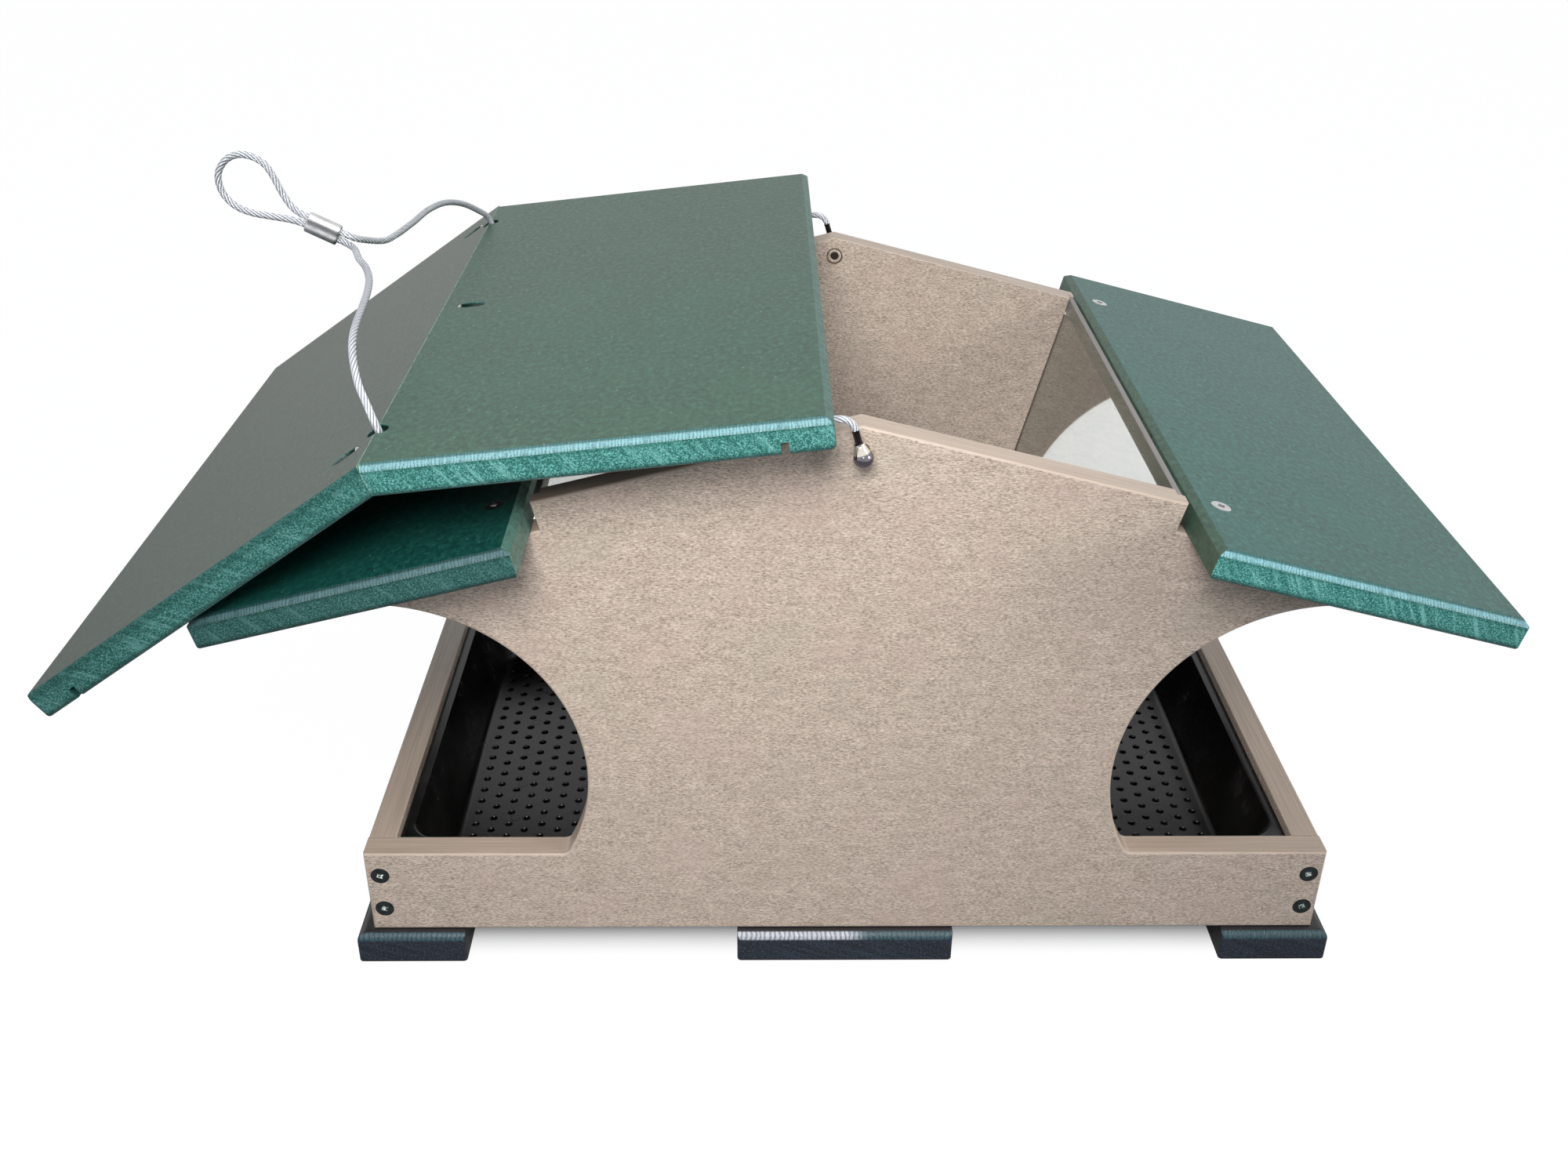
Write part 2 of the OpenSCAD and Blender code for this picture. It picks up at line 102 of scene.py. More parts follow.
# %% Sizes in millimetres
MM = 0.001
BOARD = 12.7
BASE_Z, PEAK_Z = 16.0, 268.0
HALF_W, HALF_D = 218.0, 133.0
INNER_X, INNER_Y = HALF_W - BOARD, HALF_D - BOARD
SLOPE = np.radians(14.2)
GABLE_HALF = 131.0
GABLE_S = GABLE_HALF / np.cos(SLOPE)
EAVE_S = GABLE_S + 3.4
EAVE_END_S = EAVE_S + 130.0
EAVE_HALF_Y = HALF_D + 38.0
CAP_X, CAP_Z, CAP_TILT = -185.0, 269.577, np.radians(20.7)
CAP_W, CAP_HALF_Y = 172.5, 175.0
HOLE_Y = HALF_D + 8.0
ANCHOR_Z = PEAK_Z - 10.0
SIDES = {"left": -1, "right": 1}
ENDS = {"front": -1, "back": 1}

# %% [markdown]
# ## Making a mesh from numbers
# Every new piece is a grid: rows of points that follow a formula, joined by four-sided faces.
# Numpy works out all points at once. The outside of a closed piece must face outwards, and the sign
# of its volume tells whether it does, so the faces are turned round where the volume is negative.


# %% Grids, and a piece from points
def grid_faces(rows, columns):
    """Four corners for each cell of rows of points, where each row runs round and closes."""
    r, c = np.arange(rows - 1)[:, None], np.arange(columns)[None, :]
    after = (c + 1) % columns
    corners = [r * columns + c, r * columns + after, (r + 1) * columns + after, (r + 1) * columns + c]
    return np.stack(corners, axis=-1).reshape(-1, 4)


def closed(rings, open_ends=False):
    """A skin over stacked rings, shaped (rings, points, 3), with a flat face over each end."""
    rows, columns = rings.shape[:2]
    faces = grid_faces(rows, columns).tolist()
    if not open_ends:
        faces += [list(range(columns))[::-1], list(range((rows - 1) * columns, rows * columns))]
    return rings.reshape(-1, 3), faces


def joined(*parts):
    """Several (points, faces) pairs as one."""
    points, faces, start = [], [], 0
    for p, f in parts:
        points.append(np.asarray(p, float))
        faces += [[start + i for i in face] for face in f]
        start += len(p)
    return np.concatenate(points), faces


def outwards(points, faces):
    """The same part with its faces pointing out: its volume is a sixth of the sum of a . (b x c)."""
    six = sum(np.cross(p[1:-1], p[2:]).sum(axis=0) @ p[0] for p in (points[face] for face in faces))
    return points, faces if six > 0 else [face[::-1] for face in faces]


def smoothed(mesh, crease):
    """Smooth shading, except where faces meet at more than the crease's angle."""
    mesh.shade_smooth()
    mesh.set_sharp_from_angle(angle=np.radians(crease))


def plain_piece(name, parts, cuts=(), crease=32):
    """An object at the origin, made from closed parts in millimetres, less the closed parts in cuts."""
    points, faces = joined(*[outwards(*part) for part in parts])
    mesh = bpy.data.meshes.new(name)
    mesh.from_pydata((points * MM).tolist(), [], faces)
    mesh.validate()
    smoothed(mesh, crease)
    piece = new_object(name, mesh)
    if cuts:
        carve(piece, cuts, crease)
    return piece


# %% [markdown]
# ## Places
# A board of the roof is easiest to draw flat: s runs down the slope from the ridge, y runs along
# the ridge, and h stands square to the board. One function lays such points on the roof, and another
# lays them on the cap where it rests.


# %% From flat drawings to their places
def stacked(*axes):
    """Coordinates as one array of points, after they are spread to one shape."""
    return np.stack(np.broadcast_arrays(*[np.asarray(a, float) for a in axes]), axis=-1)


def on_slope(side, s, y, h):
    """x = side (s cos a + h sin a), z = peak - s sin a + h cos a, with a the roof's pitch."""
    x = side * (s * np.cos(SLOPE) + h * np.sin(SLOPE))
    return stacked(x, y, PEAK_Z - s * np.sin(SLOPE) + h * np.cos(SLOPE))


def on_cap(side, s, y, h):
    """The slope's formula about the ridge, turned by the cap's tilt and moved to where it lies."""
    x = side * (s * np.cos(SLOPE) + h * np.sin(SLOPE))
    z = -s * np.sin(SLOPE) + h * np.cos(SLOPE)
    turned_x = x * np.cos(CAP_TILT) - z * np.sin(CAP_TILT)
    turned_z = x * np.sin(CAP_TILT) + z * np.cos(CAP_TILT)
    return stacked(CAP_X + turned_x, y, CAP_Z + turned_z)


def about(origin, axis, across):
    """A function that lays points drawn round the Z axis along another axis from an origin."""
    origin, axis = np.asarray(origin, float), np.asarray(axis, float)
    axis = axis / np.linalg.norm(axis)
    u = np.asarray(across, float) - np.dot(across, axis) * axis
    u = u / np.linalg.norm(u)
    turn = np.stack([u, np.cross(axis, u), axis])
    return lambda x, y, z: origin + stacked(x, y, z) @ turn


# %% [markdown]
# ## Shapes that come back
# Three formulas make nearly all of the pieces. A turned shape carries a radius round an axis, as a lathe does.
# A board stacks rectangles with soft corners, whose sides step in where its edges are rounded or
# bevelled. A plate stacks copies of an outline, each moved in by a small amount.


# %% Turned shapes
def turned(place, radii, heights, sides=32):
    """Points at radius r and height z, where the profile gives each height its radius."""
    angle = np.arange(sides) / sides * 2 * np.pi
    r = np.asarray(radii, float)[:, None]
    return closed(place(r * np.cos(angle), r * np.sin(angle), np.asarray(heights, float)[:, None]))


# %% Boards with soft corners
def soft_rectangle(sides, radii, steps=5):
    """Quarter circles for the corners of a rectangle (low s, high s, low y, high y), anticlockwise."""
    low_s, high_s, low_y, high_y = sides
    corners = []
    places = (high_s, high_y), (low_s, high_y), (low_s, low_y), (high_s, low_y)
    for quarter, ((s, y), r) in enumerate(zip(places, np.broadcast_to(radii, 4))):
        out = np.sign([np.cos((quarter + 0.5) * np.pi / 2), np.sin((quarter + 0.5) * np.pi / 2)])
        angle = np.linspace(0, np.pi / 2, steps) + quarter * np.pi / 2
        corners.append([s, y] - out * r + r * np.stack([np.cos(angle), np.sin(angle)], axis=1))
    return np.concatenate(corners)


def board(place, size, radii, depths, insets):
    """Soft rectangles at each depth. The insets move in the low s, high s, low y and high y sides."""
    rings = []
    for depth, inset in zip(depths, stacked(*insets)):
        left = np.broadcast_to(radii, 4) - np.maximum(inset[[1, 0, 0, 1]], inset[[3, 3, 2, 2]])
        corners = soft_rectangle(np.asarray(size) + inset * (1, -1, 1, -1), np.maximum(left, 0.1))
        rings.append(place(*corners.T, -depth))
    return closed(np.array(rings))


# %% Rounded and bevelled edges
def softened(depths, thickness, top, low):
    """The inset of rounded edges: r - sqrt(r^2 - (r - d)^2) from each face, for radii top and low."""
    def quarter(r, d):
        return r - np.sqrt(r ** 2 - np.clip(r - d, 0, r) ** 2)
    return quarter(top, depths) + quarter(low, thickness - depths)


def rounded(thickness, top, low, steps=4):
    """Depths of rings through a board, close together at its rounded edges, and their insets."""
    sweep = 1 - np.cos(np.linspace(0, np.pi / 2, steps + 1))
    depths = np.concatenate([top * sweep, thickness - low * sweep[::-1]])
    return depths, softened(depths, thickness, top, low)


# %% Plates
def moved_in(outline, distance):
    """An outline that runs anticlockwise, with each edge moved in: p + (n1 + n2) d / (1 + n1 . n2)."""
    step = np.roll(outline, -1, axis=0) - outline
    step = step / np.linalg.norm(step, axis=1, keepdims=True)
    after = np.stack([-step[:, 1], step[:, 0]], axis=1)
    before = np.roll(after, 1, axis=0)
    return outline + distance * (before + after) / (1 + (before * after).sum(axis=1, keepdims=True))


def plate(place, outline, depths, insets):
    """Copies of an outline at each depth, each moved in by its inset."""
    return closed(np.array([place(*moved_in(outline, inset).T, depth) for depth, inset in zip(depths, insets)]))


def arc(centre, radius, start, end, steps):
    """Points on a circle between two angles in degrees."""
    angle = np.radians(np.linspace(start, end, steps))
    return np.stack([centre[0] + radius * np.cos(angle), centre[1] + radius * np.sin(angle)], axis=1)


# %% [markdown]
# Saw cuts, screw holes and pockets are taken out afterwards: a Boolean modifier subtracts plain
# closed shapes, and its result becomes the piece's own mesh, so nothing is left to work out later.


# %% Cutting holes and grooves
def block(place, low, high):
    """A plain box from its low corner to its high corner."""
    corners = soft_rectangle((low[0], high[0], low[1], high[1]), 0, 1)
    return closed(np.array([place(*corners.T, low[2]), place(*corners.T, high[2])]))


def carve(piece, parts, crease):
    """Subtract closed parts from a piece and keep the result."""
    cutter = plain_piece(piece.name + "_cutter", parts)
    cut = piece.modifiers.new("cut", "BOOLEAN")
    cut.operation, cut.solver, cut.object = "DIFFERENCE", "EXACT", cutter
    mesh = bpy.data.meshes.new_from_object(piece.evaluated_get(bpy.context.evaluated_depsgraph_get()))
    piece.modifiers.clear()
    piece.data = mesh
    smoothed(mesh, crease)
    bpy.data.objects.remove(cutter)


# %% [markdown]
# ## Shader sums as Python
# A finish needs many small sums, such as one noise times another. Written as nodes they fill pages,
# so a small class wraps a socket, and each operator on it adds one Math node. Every other node comes
# from one method, which sets the node's own settings first and then its sockets.


# %% A socket that can be added and multiplied
def sign(operation, number_first=False):
    """A method for one of Python's signs, between a socket and another one or a number."""
    return lambda self, other: self.math(operation, *((other, self) if number_first else (self, other)))


class Wire:
    def __init__(self, tree, socket=None):
        self.tree, self.socket = tree, socket

    def node(self, kind, settings=None, sockets=None, output=0):
        """Add a node, with its settings and then the values or links of its sockets."""
        node = self.tree.nodes.new(kind)
        for name, value in (settings or {}).items():
            if name == "stops":
                ramp = node.color_ramp
                while len(ramp.elements) < len(value):
                    ramp.elements.new(0.5)
                for element, (position, shade) in zip(ramp.elements, value):
                    element.position, element.color = position, colour(shade)
            else:
                setattr(node, name, value)
        for name, value in (sockets or {}).items():
            if isinstance(value, Wire):
                self.tree.links.new(value.socket, node.inputs[name])
            else:
                node.inputs[name].default_value = value
        return Wire(self.tree, node.outputs[output] if node.outputs else None)

    def math(self, operation, *terms):
        return self.node("ShaderNodeMath", {"operation": operation}, dict(enumerate(terms)))

    __add__, __radd__ = sign("ADD"), sign("ADD", True)
    __sub__, __rsub__ = sign("SUBTRACT"), sign("SUBTRACT", True)
    __mul__, __rmul__ = sign("MULTIPLY"), sign("MULTIPLY", True)

    def __abs__(self):
        return self.math("ABSOLUTE", self)

    def ramp(self, low, high):
        """0 below low and 1 above high, with a smooth step between; low may be the larger one."""
        return self.node("ShaderNodeMapRange", {"interpolation_type": "SMOOTHSTEP"},
                         {"Value": self, "From Min": low, "From Max": high})

    def band(self, low, high, soft):
        """1 between low and high, and 0 outside, with soft steps."""
        return self.ramp(low - soft, low) * self.ramp(high + soft, high)

    def mix(self, first, second):
        """The first colour where this is 0 and the second where it is 1."""
        return self.node("ShaderNodeMix", {"data_type": "RGBA"}, {0: self, 6: colour(first), 7: colour(second)}, 2)

    def coats(self, *layers):
        """This colour under layers, each a share and the colour that covers what is below by that share."""
        base = self
        for share, shade in layers:
            base = share.mix(base, shade)
        return base

    def shades(self, *stops):
        """Colours between stops of this value, each a position and a colour."""
        return self.node("ShaderNodeValToRGB", {"stops": stops}, {0: self})


# %% Colours, places and noises
def colour(shade):
    """Three values of 0 to 255, as a screen shows them, turned to a shader's linear ones. Others stay."""
    if isinstance(shade, Wire) or len(shade) == 4:
        return shade
    c = np.array(shade) / 255
    linear = np.where(c <= 0.04045, c / 12.92, ((c + 0.055) / 1.055) ** 2.4)
    return (*linear.tolist(), 1.0)


def start_finish(name):
    """A new material, and a wire from which its nodes are made."""
    material = bpy.data.materials.new(name)
    material.use_nodes = True
    material.node_tree.nodes.clear()
    return material, Wire(material.node_tree)


def split(wire, vector):
    return [wire.node("ShaderNodeSeparateXYZ", None, {0: vector}, i) for i in range(3)]


def spot(wire, turn=0.0, origin=(0, 0, 0)):
    """Object coordinates in millimetres from an origin, after a turn about Y: the vector, and x, y, z."""
    x, y, z = origin
    moved = (-x * np.cos(turn) - z * np.sin(turn), -y, x * np.sin(turn) - z * np.cos(turn))
    place = wire.node("ShaderNodeTexCoord", output="Object")
    place = wire.node("ShaderNodeMapping", None, {
        "Vector": place, "Location": moved, "Rotation": (0, turn, 0), "Scale": (1 / MM,) * 3})
    return place, split(wire, place)


def facing(wire, turn=0.0):
    """The surface's own direction as x, y and z, after a turn about Y."""
    normal = wire.node("ShaderNodeNewGeometry", output="Normal")
    normal = wire.node("ShaderNodeMapping", {"vector_type": "VECTOR"}, {"Vector": normal, "Rotation": (0, turn, 0)})
    return split(wire, normal)


def noise(wire, place, size, detail=2.0, roughness=0.5, warp=0.0, turn=0.0):
    """Noise between 0 and 1, whose features are size millimetres long along X, Y and Z, turned about Y."""
    size = tuple(np.broadcast_to(size, 3).astype(float).tolist())
    place = wire.node("ShaderNodeMapping", {"vector_type": "TEXTURE"}, {
        "Vector": place, "Scale": size, "Rotation": (0, turn, 0)})
    return wire.node("ShaderNodeTexNoise", None,
                     {"Vector": place, "Scale": 1.0, "Detail": detail, "Roughness": roughness, "Distortion": warp})


def dots(wire, place, size, share):
    """1 inside scattered round dots: cells of a given size, whose middles are dots of a given share."""
    place = wire.node("ShaderNodeMapping", None, {"Vector": place, "Scale": (1 / size,) * 3})
    far = wire.node("ShaderNodeTexVoronoi", None, {"Vector": place, "Scale": 1.0})
    return far.ramp(share, share * 0.6)


def shaded(wire, material, sockets, bumps):
    """The Principled shader with its sockets, each bump's height in millimetres, and the output."""
    for height, depth in bumps:
        links = {"Height": height, "Distance": depth * MM, "Strength": 1.0}
        if "Normal" in sockets:
            links["Normal"] = sockets["Normal"]
        sockets = {**sockets, "Normal": wire.node("ShaderNodeBump", None, links)}
    shader = wire.node("ShaderNodeBsdfPrincipled", None, sockets)
    wire.node("ShaderNodeOutputMaterial", None, {"Surface": shader})
    return material


# %% [markdown]
# ## Tan boards
# The end panels and rails are pressed plastic lumber. Their faces are covered in short fine dashes that
# run level, some darker and some paler, over slow clouds. A saw or router leaves the edges smooth and
# pinker, with faint lines along the cut. A pale highlight is painted on the rounded arris between an
# edge and a face. The surface's direction tells a face from an edge.


# %% Tan lumber
def tan_lumber(name, axis):
    """Lumber whose dashed faces look along X or Y (axis 0 or 1)."""
    material, wire = start_finish(name)
    place, _ = spot(wire)
    flat = abs(facing(wire)[axis])
    dash = noise(wire, place, (1.7, 1.7, 0.45), 2.0, 0.6, 0.3)
    fine = noise(wire, place, (0.8, 0.8, 0.3), 1.0)
    patch = noise(wire, place, (11.0, 11.0, 4.0), 2.0)
    tint = noise(wire, place, 24.0, 1.0)
    stripes = noise(wire, place, (60.0, 0.9, 60.0) if axis else (0.9, 60.0, 60.0), 2.0)
    value = dash * 0.60 + fine * 0.26 + patch * 0.14
    face = value.shades((0.34, (138, 121, 106)), (0.50, (203, 183, 166)), (0.65, (238, 221, 205))).coats(
        (tint.ramp(0.52, 0.75) * 0.30, (208, 180, 168)), (tint.ramp(0.46, 0.25) * 0.22, (184, 176, 156)))
    edge = stripes.ramp(0.3, 0.7).mix((184, 162, 144), (202, 181, 163))
    # The rounded arris between edge and face gets a pale painted highlight.
    base = edge.coats((flat.ramp(0.30, 0.60), (206, 186, 169)), (flat.ramp(0.90, 0.985), face))
    return shaded(wire, material, {"Base Color": base, "Roughness": 0.34 + 0.16 * flat + 0.12 * fine},
                  [(value * flat, 0.14), (stripes, 0.03)])


PANEL_FINISH = tan_lumber("tan_panel_lumber", 1)
RAIL_FINISH = tan_lumber("tan_rail_lumber", 0)

# %% [markdown]
# ## Green boards
# The roof is the same lumber in green. Its top has a leathery grain, and what looks like a pale haze
# there is the sky in its gloss, which grows towards the back. The sawn ends are full of pale specks and
# slanting strokes, and the router has left a row of small ribs across each end's bevel, whose pale
# colour is partly a painted highlight. Shade is painted in the cuts inside a board, on faces that point
# down and in bands along the top and bottom of the sawn ends. A pale hair of a line shows where the two
# cap boards meet.


# %% Green lumber
def green_lumber(name, side, top, smooth, painted_light_gain, tilt=0.0, origin=(0, 0, PEAK_Z), low=EAVE_S + 3.6,
                 high=EAVE_END_S, half=EAVE_HALF_Y, seam=0.0):
    """Green lumber for a board from low to high down one side's slope, which may be tilted further.

    The top and the smooth long edges have a colour each, and a factor makes the sawn ends paler or darker. Both are
    set per board to paint the light and shade that falls on it."""
    def teal(*shade):
        return [min(c * painted_light_gain, 255) for c in shade]
    material, wire = start_finish(name)
    turn = -side * SLOPE + tilt
    place, (x, y, h) = spot(wire, turn, origin)
    _, ny, nz = facing(wire, turn)
    end = abs(ny).ramp(0.3, 0.5)
    bevel = abs(nz).ramp(0.3, 0.5) * abs(nz).ramp(0.93, 0.86)
    grain = noise(wire, place, 0.65, 3.0, 0.65)
    leather = noise(wire, place, (2.4, 3.2, 2.4), 3.0, 0.6, 0.4)
    cloud = noise(wire, place, 42.0, 3.0)
    strokes = noise(wire, place, (26.0, 12.0, 2.0), 3.0, 0.6, 0.3, turn=0.95)
    face = leather.shades((0.30, [0.72 * c for c in top]), (0.52, top), (0.75, [c + 26 for c in top])).coats(
        (cloud.ramp(0.4, 0.7) * 0.25, [1.18 * c for c in top]), (dots(wire, place, 6.5, 0.07) * 0.6, (150, 176, 160)))
    planed = leather.shades((0.3, [0.75 * c for c in smooth]), (0.7, [c + 16 for c in smooth]))
    sawn = grain.shades((0.34, teal(10, 66, 60)), (0.50, teal(40, 104, 96)), (0.68, teal(118, 180, 172))).coats(
        (dots(wire, place, 0.9, 0.42) * 0.22, teal(150, 200, 194)),
        (strokes.ramp(0.52, 0.70) * 0.5, teal(122, 180, 172)),
        (strokes.ramp(0.46, 0.32) * 0.4, teal(10, 64, 56)),
        # Painted shade: a darker band under the top of each sawn end, and a darker one at its rounded lower edge.
        (h.ramp(-4.6, -2.6) * 0.45, teal(10, 68, 60)),
        (h.ramp(-9.6, -12.0) * 0.75, teal(8, 40, 36)))
    wobble = noise(wire, place, 5.0, 2.0)
    wave = wire.math("SINE", (x + wobble * 2.4) * (2 * np.pi / 1.3)) * 0.5 + 0.5
    ribs = wave.ramp(0.0, 0.6) * noise(wire, place, (2.2, 8.0, 8.0), 2.0).ramp(0.25, 0.6)
    # On the end bevels the ribs' pale colour is partly a painted highlight. A pale band along the bevel's middle is a
    # painted highlight, and the dark band along its top arris is painted shade.
    bevel_ribs_and_highlight = (0.25 + 0.75 * ribs).mix(teal(32, 80, 76), teal(108, 146, 146)).coats(
        (h.band(-0.6, 0.5, 0.4) * (0.3 + grain), teal(24, 70, 68)),
        (h.band(-1.7, -1.0, 0.6) * grain.ramp(0.3, 0.7) * 0.6, teal(128, 170, 182)))
    s = side * x + h * (seam * np.tan(SLOPE))
    # The walls of cuts inside the board are painted dark as shade.
    inside = h.band(-BOARD + 0.6, -0.6, 0.3) * s.band(low, high - 4.2, 0.3) * abs(y).ramp(half - 3.5, half - 3.8)
    base = end.mix(planed, sawn).coats(
        # Faces that point down are painted dark as shade.
        (bevel * end, bevel_ribs_and_highlight), (nz.ramp(0.86, 0.95), face), (nz.ramp(-0.35, -0.75), teal(16, 44, 38)),
        (inside, (16, 40, 34)), (s.ramp(0.35, 0.1) * wobble.ramp(0.3, 0.55) * (0.6 * seam), (150, 184, 166)))
    relief = leather * 1.2 + grain * 0.5 + ribs * bevel * end
    return shaded(wire, material, {
        "Base Color": base, "Roughness": 0.38 - 0.12 * (bevel * end) + 0.1 * grain, "Specular IOR Level": 0.44},
        [(relief, 0.07)])


LEFT, RIGHT = SIDES.values()
# The boards' different colours and end factors paint the light and shade that falls on each board.
EAVE_FINISH = {
    LEFT: green_lumber("green_left_eave_lumber", LEFT, (20, 78, 70), (92, 136, 122), 0.78),
    RIGHT: green_lumber("green_right_eave_lumber", RIGHT, (36, 88, 80), (48, 82, 62), 1.30)}
ON_CAP = {"tilt": CAP_TILT, "origin": (CAP_X, 0, CAP_Z), "low": 0.7, "high": CAP_W, "half": CAP_HALF_Y, "seam": 1.0}
CAP_FINISH = {
    LEFT: green_lumber("green_left_cap_lumber", LEFT, (38, 56, 42), (30, 84, 76), 0.95, **ON_CAP),
    RIGHT: green_lumber("green_right_cap_lumber", RIGHT, (38, 76, 58), (48, 92, 80), 1.12, **ON_CAP)}

# %% [markdown]
# ## Black lumber and black tray
# The runners are black lumber, with a bluish highlight painted on the rounded edges of their ends. The
# tray is moulded in a glossy black plastic, so its colour is nearly nothing and its look comes from what
# it reflects. Round marks on its floor are where pins pushed it out of the mould.


# %% Black lumber
def black_lumber():
    material, wire = start_finish("black_runner_lumber")
    place, (x, _, z) = spot(wire)
    _, ny, nz = facing(wire)
    end = abs(ny).ramp(0.3, 0.5)
    bevel = abs(nz).ramp(0.15, 0.4) * abs(nz).ramp(0.97, 0.88)
    grain = noise(wire, place, 0.9, 3.0, 0.65)
    strokes = noise(wire, place, (30.0, 12.0, 1.6), 3.0, 0.6, 0.3, turn=0.35)
    wobble = noise(wire, place, 6.0, 2.0)
    ribs = (wire.math("SINE", (x + wobble * 3.0) * (2 * np.pi / 2.2)) * 0.5 + 0.5).ramp(0.1, 0.6)
    # The painted highlight on the end bevels is nearly white on the centre runner's left half, and bluish elsewhere.
    shine = x.band(-50, 0, 12).mix((50, 84, 92), (204, 206, 214))
    base = grain.shades((0.36, (12, 14, 18)), (0.52, (28, 36, 46)), (0.70, (72, 86, 106))).coats(
        (strokes.ramp(0.50, 0.68) * 0.35, (58, 70, 86)), (strokes.ramp(0.46, 0.32) * 0.5, (8, 9, 12)),
        (bevel * end * (0.2 + 0.5 * ribs + 0.4 * grain), shine), (z.ramp(1.6, 0.4), (34, 14, 14)),
        (1 - end, grain.mix((22, 20, 22), (40, 38, 40))))
    return shaded(wire, material, {"Base Color": base, "Roughness": 0.40 - 0.12 * bevel + 0.12 * grain},
                  [(grain + ribs * bevel * end * 1.4, 0.08)])


RUNNER_FINISH = black_lumber()


# %% Glossy black tray
PITCH_Y = 9.6
ROW_STEP = PITCH_Y * np.cos(np.pi / 6)


def tray_plastic():
    material, wire = start_finish("black_tray_plastic")
    place, (x, y, z) = spot(wire)
    ripple = noise(wire, place, 7.0, 2.0)
    skin = noise(wire, place, 0.7, 2.0)
    dust = noise(wire, place, 26.0, 4.0, 0.6)
    # A pin's mark stands midway between three holes, on every fourth column and third row.
    far_x = wire.math("WRAP", x - ROW_STEP / 3, 2 * ROW_STEP, -2 * ROW_STEP)
    far_y = wire.math("WRAP", y - PITCH_Y / 2, 1.5 * PITCH_Y, -1.5 * PITCH_Y)
    far = wire.math("SQRT", far_x * far_x + far_y * far_y)
    floor = facing(wire)[2].ramp(0.9, 0.97) * z.ramp(19.5, 18.5)
    ring = far.band(2.1, 2.5, 0.25) * floor
    base = dust.ramp(0.4, 0.75).mix((8, 7, 7), (34, 31, 30)).coats((ring * 0.8, (4, 4, 4)))
    return shaded(wire, material, {"Base Color": base, "Roughness": 0.17 + 0.16 * dust, "Specular IOR Level": 0.36},
                  [(ripple, 0.05), (skin, 0.012), (far.ramp(2.5, 2.2) * floor, 0.08)])


TRAY_FINISH = tray_plastic()

# %% [markdown]
# ## Clear sheet and metals
# The windows are cut from clear acrylic. Light goes through the faces, and the sawn edges are frosted,
# so the surface's direction mixes a clear shader with a frosted one. The metals are wire, a satin
# ferrule, chrome, stainless steel and a dark coated steel that has worn to bare metal in the drives.


# %% Clear sheet with frosted edges
def clear_sheet(name, side):
    material, wire = start_finish(name)
    turn = -side * SLOPE
    place, _ = spot(wire, turn)
    edge = abs(facing(wire, turn)[0]).ramp(0.95, 0.7)
    scratch = noise(wire, place, (1.2, 24.0, 0.4), 3.0)
    clear = wire.node("ShaderNodeBsdfPrincipled", None, {
        "Base Color": (0.88, 0.92, 0.91, 1), "Roughness": 0.03, "IOR": 1.49, "Transmission Weight": 1.0})
    saw = scratch.mix((116, 110, 106), (156, 149, 145))
    bump = wire.node("ShaderNodeBump", None, {"Height": scratch, "Distance": 0.05 * MM, "Strength": 1.0})
    frosted = wire.node("ShaderNodeBsdfPrincipled", None, {"Base Color": saw, "Roughness": 0.55, "Normal": bump})
    both = wire.node("ShaderNodeMixShader", None, {0: edge, 1: clear, 2: frosted})
    wire.node("ShaderNodeOutputMaterial", None, {"Surface": both})
    return material


WINDOW_FINISH = {side: clear_sheet(f"clear_{name}_sheet", side) for name, side in SIDES.items()}


# %% Metals
def metal(name, dark, pale, roughness, scratch_size, depth=0.01, bare=None):
    """Metal whose colour and roughness wander a little, with fine scratches; bare marks where a coat is gone."""
    material, wire = start_finish(name)
    place, axes = spot(wire)
    wear = noise(wire, place, 2.6, 3.0)
    scratch = noise(wire, place, scratch_size, 2.0)
    base = wear.mix(dark, pale)
    if bare:
        base = (bare(*axes) * noise(wire, place, 0.8, 1.0).ramp(0.42, 0.56)).mix(base, (226, 234, 232))
    return shaded(wire, material, {"Base Color": base, "Metallic": 1.0, "Roughness": roughness + 0.16 * wear},
                  [(scratch, depth)])


def in_drive(x, y, z):
    """1 below the face of a rail screw, whose head faces along Y at the panel's face."""
    return abs(y).ramp(HALF_D - 0.2, HALF_D - 0.4) * z.ramp(5.0, 6.0)


FERRULE_FINISH = metal("satin_ferrule", (176, 176, 178), (226, 226, 226), 0.26, (0.5, 0.5, 3.0))
STAINLESS_FINISH = metal("stainless_screw_steel", (160, 158, 160), (222, 222, 222), 0.24, (2.0, 0.3, 0.3))
COATED_FINISH = metal("dark_coated_screw_steel", (40, 44, 43), (84, 88, 88), 0.38, 0.5, 0.03, in_drive)
BOLT_FINISH = metal("dull_bolt_steel", (62, 54, 50), (130, 124, 120), 0.22, 0.6)

# %% [markdown]
# An anchor is one chrome fitting: a ball, a cone that is paler than the ball, and a dark shank. The ball's darker
# chrome is a painted reflection of dark surroundings.


# %% Anchor chrome
SLEEVE_LEAN = np.radians(17)
CONE_TOP = 6.55


